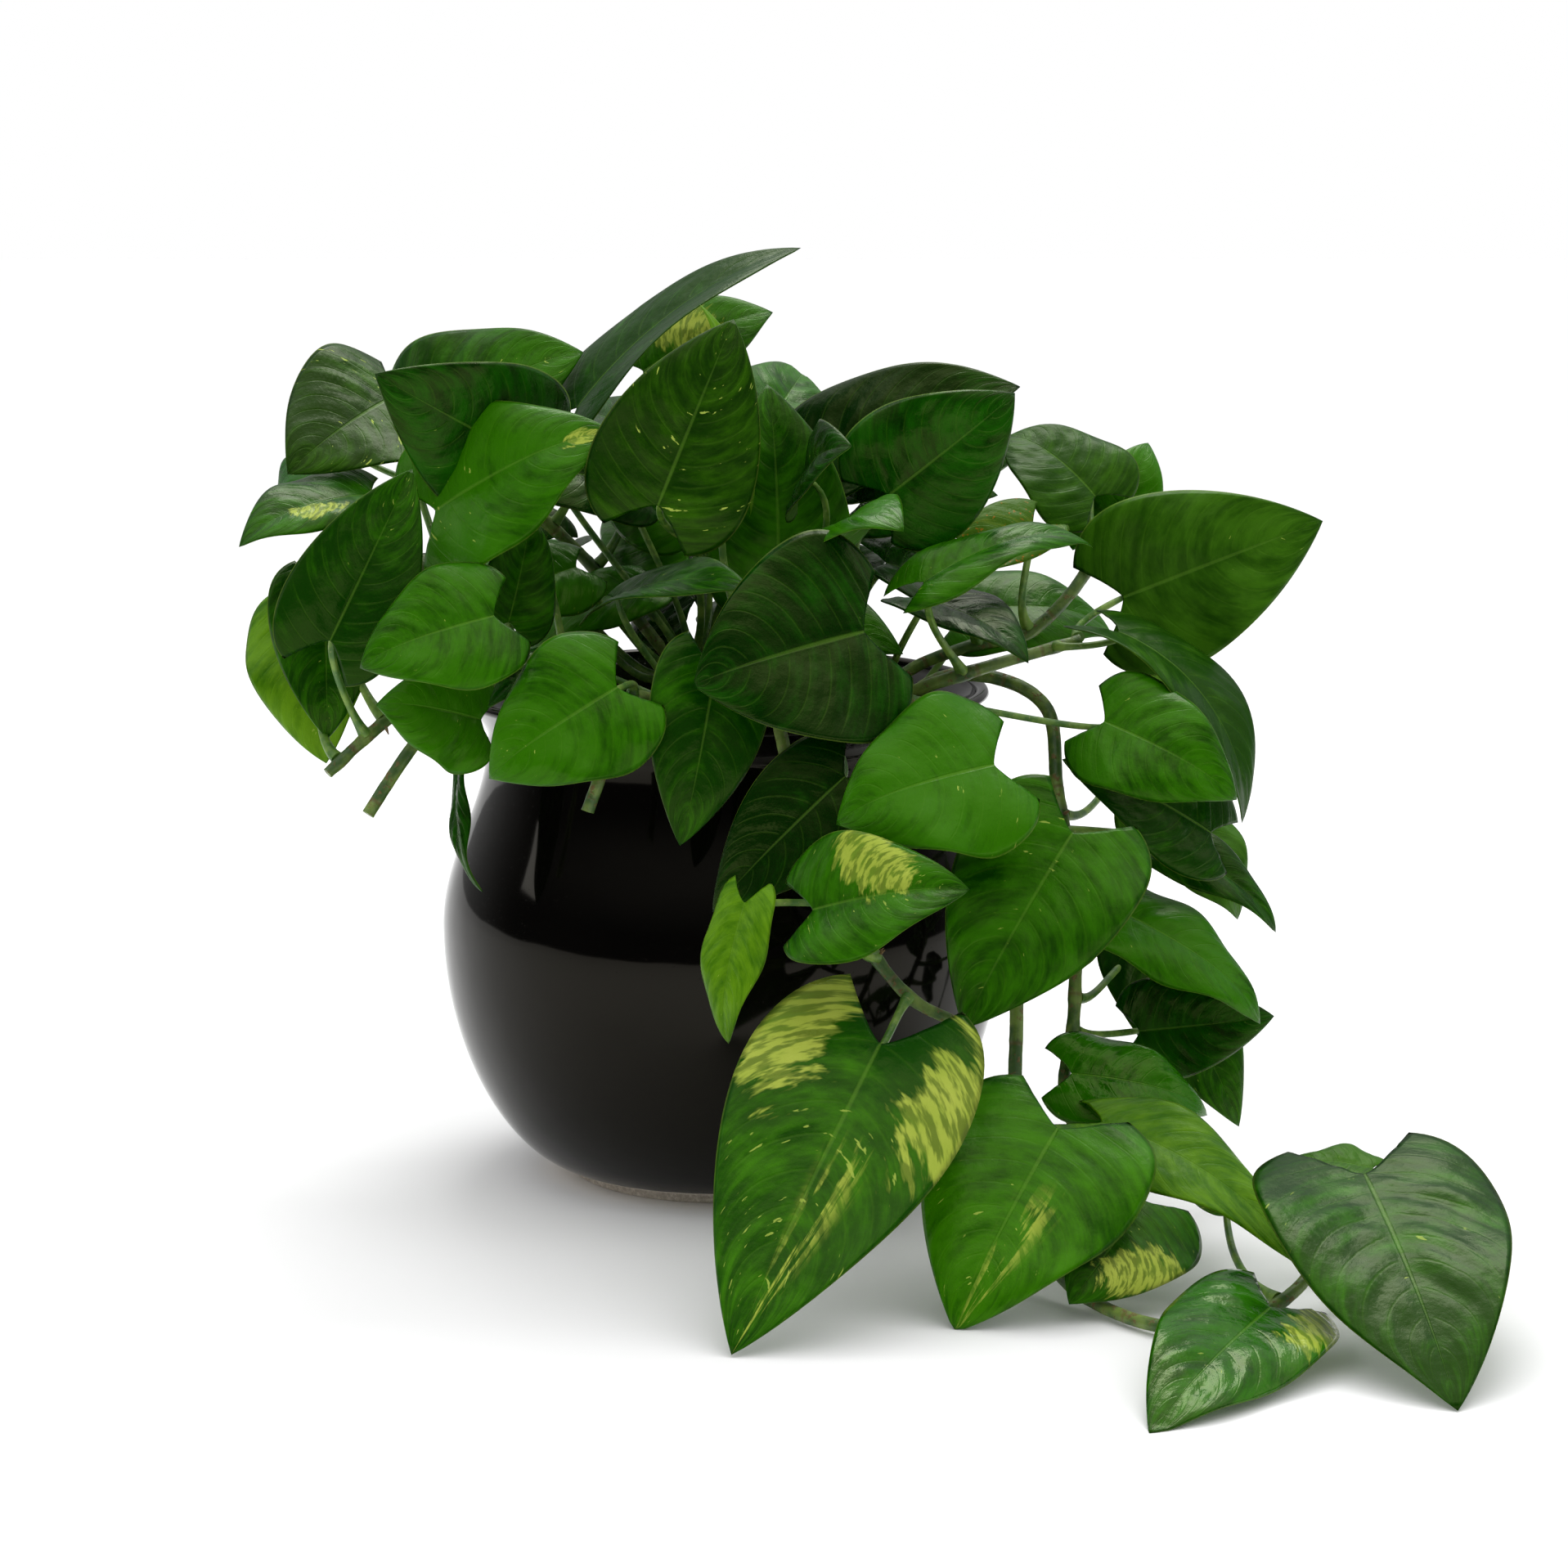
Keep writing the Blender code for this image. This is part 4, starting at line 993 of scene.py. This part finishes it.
stemTree = vineTree()
bark, nub = vineSkin(), nubSkin()
for number, name in enumerate(vines):
    vine = grown(name + "_skin", vineGuide(name), stemTree, {
        "Knobbliness": vineLooks["knobbliness"], "Step": vineLooks["step"], "Swell": vineLooks["swell"],
        "Sides": vineLooks["sides"], "Seed": vineLooks["seed"] + number, "Skin": bark, "Root Skin": nub,
    })
    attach(vine, "root")
    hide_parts(name)
print("vines grown:", len(vines))


# ---- the pot: thrown, glazed black, with a bare clay foot

potLooks = {"height": potHigh.z, "belly": potHigh.x, "bellyHeight": 0.098, "fullness": 0.8,
            "neck": 0.832 * potHigh.x, "neckDrop": 0.018, "lip": 0.945 * potHigh.x, "lipRounding": 0.0025,
            "foot": 0.555 * potHigh.x, "footHeight": 0.004, "lipSteps": 12, "footSteps": 6, "flare": 1.6,
            "footRounding": 0.0008, "wall": 0.0055, "floor": 0.012, "turns": 160, "sideSteps": 56,
            "clayLine": 0.0066}


def outerRadius(height):
    # radius of the pot's outer side at a height, from the foot to under the lip
    p = potLooks
    neckHeight = p["height"] - p["neckDrop"]
    if height > neckHeight:
        share = (height - neckHeight) / (p["neckDrop"] - p["lipRounding"])
        return p["neck"] + (p["lip"] - p["neck"]) * min(share, 1.0) ** p["flare"]
    if height > p["bellyHeight"]:
        share = (height - p["bellyHeight"]) / (neckHeight - p["bellyHeight"])
        return p["neck"] + (p["belly"] - p["neck"]) * (0.5 + 0.5 * math.cos(math.pi * share))
    drop = min((p["bellyHeight"] - height) / (p["bellyHeight"] - p["footHeight"]), 1.0)
    inset = p["fullness"] * (1 - math.sqrt(1 - drop * drop)) + (1 - p["fullness"]) * drop * drop
    return p["belly"] - (p["belly"] - p["foot"] - growth["gap"]) * inset


def turned(name, profile, material, turns):
    mesh = bpy.data.meshes.new(name)
    points = [(radius, 0.0, height) for radius, height in profile]
    mesh.from_pydata(points, [(i, i + 1) for i in range(len(points) - 1)], [])
    raw = bpy.data.objects.new(name + " profile", mesh)
    bpy.context.scene.collection.objects.link(raw)
    screw = raw.modifiers.new("Turn", "SCREW")
    screw.angle = math.tau
    screw.steps = turns
    screw.render_steps = turns
    screw.use_merge_vertices = True
    screw.merge_threshold = 0.00001
    screw.use_smooth_shade = True
    bpy.context.view_layer.update()
    result = bpy.data.meshes.new_from_object(raw.evaluated_get(bpy.context.evaluated_depsgraph_get()))
    bpy.data.objects.remove(raw)
    piece = bpy.data.objects.new(name, result)
    result.materials.clear()
    result.materials.append(material)
    bpy.context.scene.collection.objects.link(piece)
    return piece


def blackGlaze():
    material, tree, shader = newMaterial("black glaze and bare foot", 0.08)
    spot = place(tree)
    _, _, height = parts(tree, spot)
    wander = noise(tree, spot, 70.0, 3.0)
    level = height - (wander - 0.5) * 0.0022  # the glaze ends in an uneven line
    clay = 1.0 - ramp(level, potLooks["clayLine"] - 0.0003, potLooks["clayLine"] + 0.0003)
    worn = ramp(height, potLooks["height"] - 0.0022, potLooks["height"] - 0.0006)
    clouds = noise(tree, spot, 18.0, 3.0)
    glaze = mixed(tree, clouds, colour(2, 2, 2), colour(7, 6, 5))
    glaze = mixed(tree, worn * ramp(noise(tree, spot, 130.0, 3.0), 0.4, 0.7) * 0.6, glaze, colour(44, 32, 24))
    grit = noise(tree, spot, 800.0, 4.0, 0.7)
    body = mixed(tree, ramp(grit, 0.35, 0.7), colour(186, 176, 162), colour(226, 217, 204))
    plug(tree, shader.inputs["Base Color"], mixed(tree, clay, glaze, body))
    pinholes = ramp(noise(tree, spot, 1100.0, 2.0), 0.71, 0.76)
    plug(tree, shader.inputs["Roughness"], 0.055 + clouds * 0.04 + pinholes * 0.1 + clay * 0.75)
    settle = noise(tree, spot, 26.0, 2.0) * 1.6 - pinholes * 0.1 + clay * (grit * 0.4 - 0.5)
    bump(tree, shader, settle, 0.0004, 0.5)
    shader.inputs["Specular IOR Level"].default_value = 0.18
    shader.inputs["Specular Tint"].default_value = (1.0, 0.93, 0.76, 1.0)
    return material


def potProfile():
    p = potLooks
    top = p["height"] - p["lipRounding"]
    steps, belly = p["sideSteps"], p["bellyHeight"]
    drop = belly - p["footHeight"]
    low = [belly - drop * math.sin(math.radians(90 * i / steps)) for i in range(steps, 0, -1)]
    high = [belly + (top - belly) * i / steps for i in range(steps + 1)]
    heights = sorted({*low, *high, p["floor"]})
    inside = [(0.0, p["floor"])] + [(outerRadius(h) - p["wall"], h) for h in heights if h >= p["floor"]]
    lip = []
    for step in range(1, p["lipSteps"]):
        angle = math.pi * (1 - step / p["lipSteps"])
        radius = p["lip"] - 0.5 * p["wall"] * (1 - math.cos(angle))
        lip.append((radius, top + p["lipRounding"] * math.sin(angle)))
    outside = [(outerRadius(h), h) for h in reversed(heights)]
    foot = [(p["foot"] - p["footRounding"] * (1 - math.cos(a)), p["footRounding"] * (1 - math.sin(a)))
            for a in (math.radians(90 * i / p["footSteps"]) for i in range(p["footSteps"] + 1))]
    return inside + lip + outside + foot + [(p["foot"] * 0.5, 0.0), (0.0, 0.0)]


pot = turned("glazed_pot", potProfile(), blackGlaze(), potLooks["turns"])
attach(pot, "root")
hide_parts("pot")
print("pot thrown")


# ---- inner leaves: smaller ones that fill the crown wherever a seeded draw finds room among the rest

crown = {"count": 30, "tries": 900, "seed": 21, "centre": (0.0, 0.0, 0.205), "reach": (0.105, 0.070, 0.085),
         "length": (0.045, 0.075), "clearance": 0.0045, "aboveLip": 0.012, "aroundLip": 0.006, "wave": 1.2,
         "quilt": 0.25}


def bladeSamples(base, tip, normal, width):
    # points spread over a flat stand-in of a blade, for the search
    along = (tip - base).normalized()
    side = normal.cross(along)
    length = (tip - base).length
    half = 0.5 * width * length
    return [
        base + along * length * share + side * (across * half * math.sin(math.pi * (share * 0.8 + 0.15)))
        for share in (0.0, 0.15, 0.3, 0.5, 0.7, 0.85, 1.0)
        for across in (-0.9, -0.45, 0.0, 0.45, 0.9)
    ]


def roomFor(samples, taken):
    low, high = frameBox
    for point in samples:
        overPot = math.hypot(point.x, point.y) < potLooks["lip"] + crown["aroundLip"]
        if overPot and point.z < potHigh.z + crown["aboveLip"]:
            return False
        if not all(low[axis] < point[axis] < high[axis] for axis in range(3)):
            return False
        if taken.find(point)[2] < crown["clearance"]:
            return False
    return True


def crownLeaves(takenPoints):
    draw = random.Random(crown["seed"])
    centre, reach = Vector(crown["centre"]), crown["reach"]
    stems = [("vine_left", 0.16), ("vine_centre", 0.25), ("vine_right", 0.16), ("vine_middle", 0.12),
             ("vine_hanging", 0.06), ("fork_left", 0.14), ("fork_back", 0.24), ("fork_right", 0.16)]
    grownCount = 0
    for _ in range(crown["tries"]):
        turn, rise, out = draw.uniform(0, math.tau), draw.uniform(0.1, 1.0), draw.uniform(0.15, 1.0)
        away = Vector((math.cos(turn), math.sin(turn), 0))
        base = centre + Vector((away.x * reach[0] * out, away.y * reach[1] * out, reach[2] * rise))
        along = (away + Vector((0, 0, draw.uniform(-0.7, 0.6)))).normalized()
        tip = base + along * draw.uniform(*crown["length"])
        facing = Vector((away.x * 0.4 + draw.uniform(-0.4, 0.4), away.y * 0.4 - 0.5, draw.uniform(0.4, 1.0)))
        width = draw.uniform(0.65, 0.9)
        lift, bend, look = draw.uniform(8, 20), draw.uniform(12, 40), draw.random()
        normal = (facing - facing.dot(along) * along).normalized()
        samples = bladeSamples(base, tip, normal, width)
        taken = kdtree.KDTree(len(takenPoints))
        for index, point in enumerate(takenPoints):
            taken.insert(point, index)
        taken.balance()
        if not roomFor(samples, taken):
            continue
        vine, share = min(stems, key=lambda stem: (onVine(*stem)[0] - base).length)
        grownCount += 1
        name = f"inner_leaf_{grownCount:02d}"
        skin = "deep" if look < 0.5 else "mid" if look < 0.9 else "young"
        row = (vine, share, tuple(base / cm), tuple(tip / cm), tuple(facing), width, lift, bend, 0)
        growLeaf(name, row, (skin, crown["wave"], crown["quilt"], none, none), look)
        takenPoints.extend(samples)
        if grownCount == crown["count"]:
            break
    return grownCount


print("inner leaves grown:", crownLeaves(takenPoints))


# ---- the mix: an uneven top strewn with crumbs, bark and perlite

mixLooks = {"rings": 26, "turns": 96, "unevenness": 0.0022, "crumbs": 70000.0, "bark": 9000.0,
            "perlite": 3600.0, "seed": 5, "sideSteps": 24}


def crumbSkin(name, dark, light, roughness):
    material, tree, shader = newMaterial(name, roughness)
    grain = noise(tree, place(tree), 700.0, 5.0, 0.65)
    clumps = noise(tree, place(tree), 150.0, 2.0)
    skin = mixed(tree, ramp(grain * 0.6 + clumps * 0.4, 0.38, 0.62), colour(*dark), colour(*light))
    plug(tree, shader.inputs["Base Color"], skin)
    bump(tree, shader, grain, 0.0008, 0.8)
    return material


def mixTree():
    tree, given = newTree("potting mix", floats=("Top", "Unevenness", "Crumbs", "Bark", "Perlite"),
                          materials=("Soil", "Chip", "Stone"), integers=("Seed",))
    spot = Field(tree, tree.nodes.new("GeometryNodeInputPosition").outputs[0])
    height = parts(tree, spot)[2]
    top = mathNode(tree, "GREATER_THAN", height, given["Top"] - 0.0001)
    sink = noise(tree, spot, 95.0, 4.0) * given["Unevenness"] * -1.0
    ground = nodeOf(tree, "GeometryNodeSetPosition", Geometry=given["Geometry"], Selection=top,
                    Offset=joined(tree, 0.0, 0.0, sink))
    ground = nodeOf(tree, "GeometryNodeSetMaterial", Geometry=ground.outputs[0], Material=given["Soil"])
    whole = tree.nodes.new("GeometryNodeJoinGeometry")
    tree.links.new(ground.outputs[0], whole.inputs[0])
    above = mathNode(tree, "GREATER_THAN", height, given["Top"] - 0.003)
    for shift, (density, material, size, low, high) in enumerate((
        ("Crumbs", "Soil", (0.0013, 0.0011, 0.0009), 0.4, 1.3),
        ("Bark", "Chip", (0.0034, 0.0019, 0.0008), 0.4, 1.2),
        ("Perlite", "Stone", (0.0014, 0.0013, 0.0012), 0.5, 1.2),
    )):
        seed = mathNode(tree, "ADD", given["Seed"], float(shift * 7))
        drawn = nodeOf(tree, "GeometryNodeDistributePointsOnFaces", Mesh=ground.outputs[0], Selection=above,
                       Density=given[density], Seed=seed)
        pebble = nodeOf(tree, "GeometryNodeMeshIcoSphere", Radius=1.0, Subdivisions=1)
        shaped = nodeOf(tree, "GeometryNodeTransform", Geometry=pebble.outputs[0], Scale=size)
        angles = drawnValue(tree, "FLOAT_VECTOR", (-0.5, -0.5, 0.0), (0.5, 0.5, 6.28), seed)
        factor = drawnValue(tree, "FLOAT", low, high, seed)
        turn = nodeOf(tree, "FunctionNodeEulerToRotation", Euler=angles)
        strewn = nodeOf(tree, "GeometryNodeInstanceOnPoints", Points=drawn.outputs["Points"],
                        Instance=shaped.outputs[0], Rotation=turn.outputs[0],
                        Scale=joined(tree, factor, factor, factor))
        painted = nodeOf(tree, "GeometryNodeSetMaterial", Geometry=strewn.outputs[0],
                         Material=given[material])
        tree.links.new(painted.outputs[0], whole.inputs[0])
    closeTree(tree, whole.outputs[0])
    return tree


def mixProfile():
    margin = potLooks["wall"] + growth["gap"]
    reach = outerRadius(mixTop) - margin
    surface = [(reach * i / mixLooks["rings"], mixTop) for i in range(mixLooks["rings"] + 1)]
    floor = potLooks["floor"] + growth["gap"]
    steps = mixLooks["sideSteps"]
    heights = [mixTop - (mixTop - floor) * i / steps for i in range(1, steps + 1)]
    sides = [(outerRadius(height) - margin, height) for height in heights]
    return surface + sides + [(0.0, floor)]


soil = crumbSkin("potting mix", (22, 15, 10), (62, 44, 30), 0.95)
chip = crumbSkin("bark chips", (50, 30, 18), (112, 76, 48), 0.9)
stone = crumbSkin("perlite", (176, 170, 158), (226, 222, 212), 0.9)
mix = grown("strewn_mix", turned("mix body", mixProfile(), soil, mixLooks["turns"]), mixTree(), {
    "Top": mixTop, "Unevenness": mixLooks["unevenness"], "Crumbs": mixLooks["crumbs"],
    "Bark": mixLooks["bark"], "Perlite": mixLooks["perlite"], "Soil": soil, "Chip": chip, "Stone": stone,
    "Seed": mixLooks["seed"],
})
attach(mix, "root")
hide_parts("potting_mix")
print("mix strewn")


# ---- floor, light and camera

studio = {"floorSize": 14.0, "floor": colour(246, 246, 246), "floorLight": colour(250, 250, 250),
          "cameraPlace": (0.024, -1.5641, 0.4368), "cameraPitch": 10.3, "lens": 93.15,
          "domeLow": 0.2, "domeRise": 1.34, "reflectedLow": 0.04, "ceiling": 0.9}
# name, place, aim, width, height and power in watts
softboxes = [
    ("back softbox", (0.15, 0.75, 1.5), (0.05, -0.1, 0.15), 1.0, 0.7, 10.5),
    ("left window", (-1.6, -0.05, 0.9), (0.0, -0.05, 0.15), 0.3, 0.8, 1.6),
    ("right fill", (1.5, -0.2, 0.9), (0.1, -0.05, 0.15), 0.6, 0.9, 1.5),
]


def paleFloor():
    bpy.ops.mesh.primitive_plane_add(size=studio["floorSize"])
    floor = bpy.context.object
    floor.name = "studio_floor"
    material, tree, shader = newMaterial("pale floor", 0.6)
    grain = noise(tree, place(tree), 3.0, 2.0)
    plug(tree, shader.inputs["Base Color"], mixed(tree, grain, studio["floor"], studio["floorLight"]))
    shader.inputs["Specular IOR Level"].default_value = 0.1
    floor.data.materials.append(material)


def softWorld():
    # white to the camera, a soft dome to rough surfaces, and to glossy ones a room that is bright overhead
    world = bpy.data.worlds.new("soft studio")
    world.use_nodes = True
    tree = world.node_tree
    background = tree.nodes["Background"]
    _, depth, height = parts(tree, tree.nodes.new("ShaderNodeTexCoord").outputs["Generated"])
    glow = ramp(height, 0.2, 0.95) * 0.7 + ramp(depth, 0.0, 0.8) * 0.3
    reflected = glow + studio["reflectedLow"] + ramp(height, 0.76, 0.86) * studio["ceiling"]
    path = tree.nodes.new("ShaderNodeLightPath")
    seen, glossy = Field(tree, path.outputs["Is Camera Ray"]), Field(tree, path.outputs["Is Glossy Ray"])
    dome = studio["domeLow"] + ramp(height, 0.0, 1.0) * studio["domeRise"]
    plain = dome * (1.0 - glossy) * (1.0 - seen)
    plug(tree, background.inputs["Strength"], plain + reflected * glossy + seen)
    background.inputs["Color"].default_value = (1.0, 1.0, 1.0, 1.0)
    bpy.context.scene.world = world


def softbox(name, spot, target, width, height, power):
    light = bpy.data.lights.new(name, "AREA")
    light.shape = "RECTANGLE"
    light.size = width
    light.size_y = height
    light.energy = power
    lamp = bpy.data.objects.new(name, light)
    lamp.location = spot
    lamp.rotation_euler = (Vector(target) - Vector(spot)).to_track_quat("-Z", "Y").to_euler()
    bpy.context.scene.collection.objects.link(lamp)


def studioCamera():
    camera = bpy.data.cameras.new("camera")
    camera.lens = studio["lens"]
    camera.sensor_width = 36.0
    camera.clip_end = 100.0
    viewer = bpy.data.objects.new("camera", camera)
    viewer.location = studio["cameraPlace"]
    viewer.rotation_euler = (math.radians(90 - studio["cameraPitch"]), 0, 0)
    bpy.context.scene.collection.objects.link(viewer)
    bpy.context.scene.camera = viewer


paleFloor()
softWorld()
for box in softboxes:
    softbox(*box)
studioCamera()
bpy.context.scene.view_settings.view_transform = "Standard"
print("studio set")
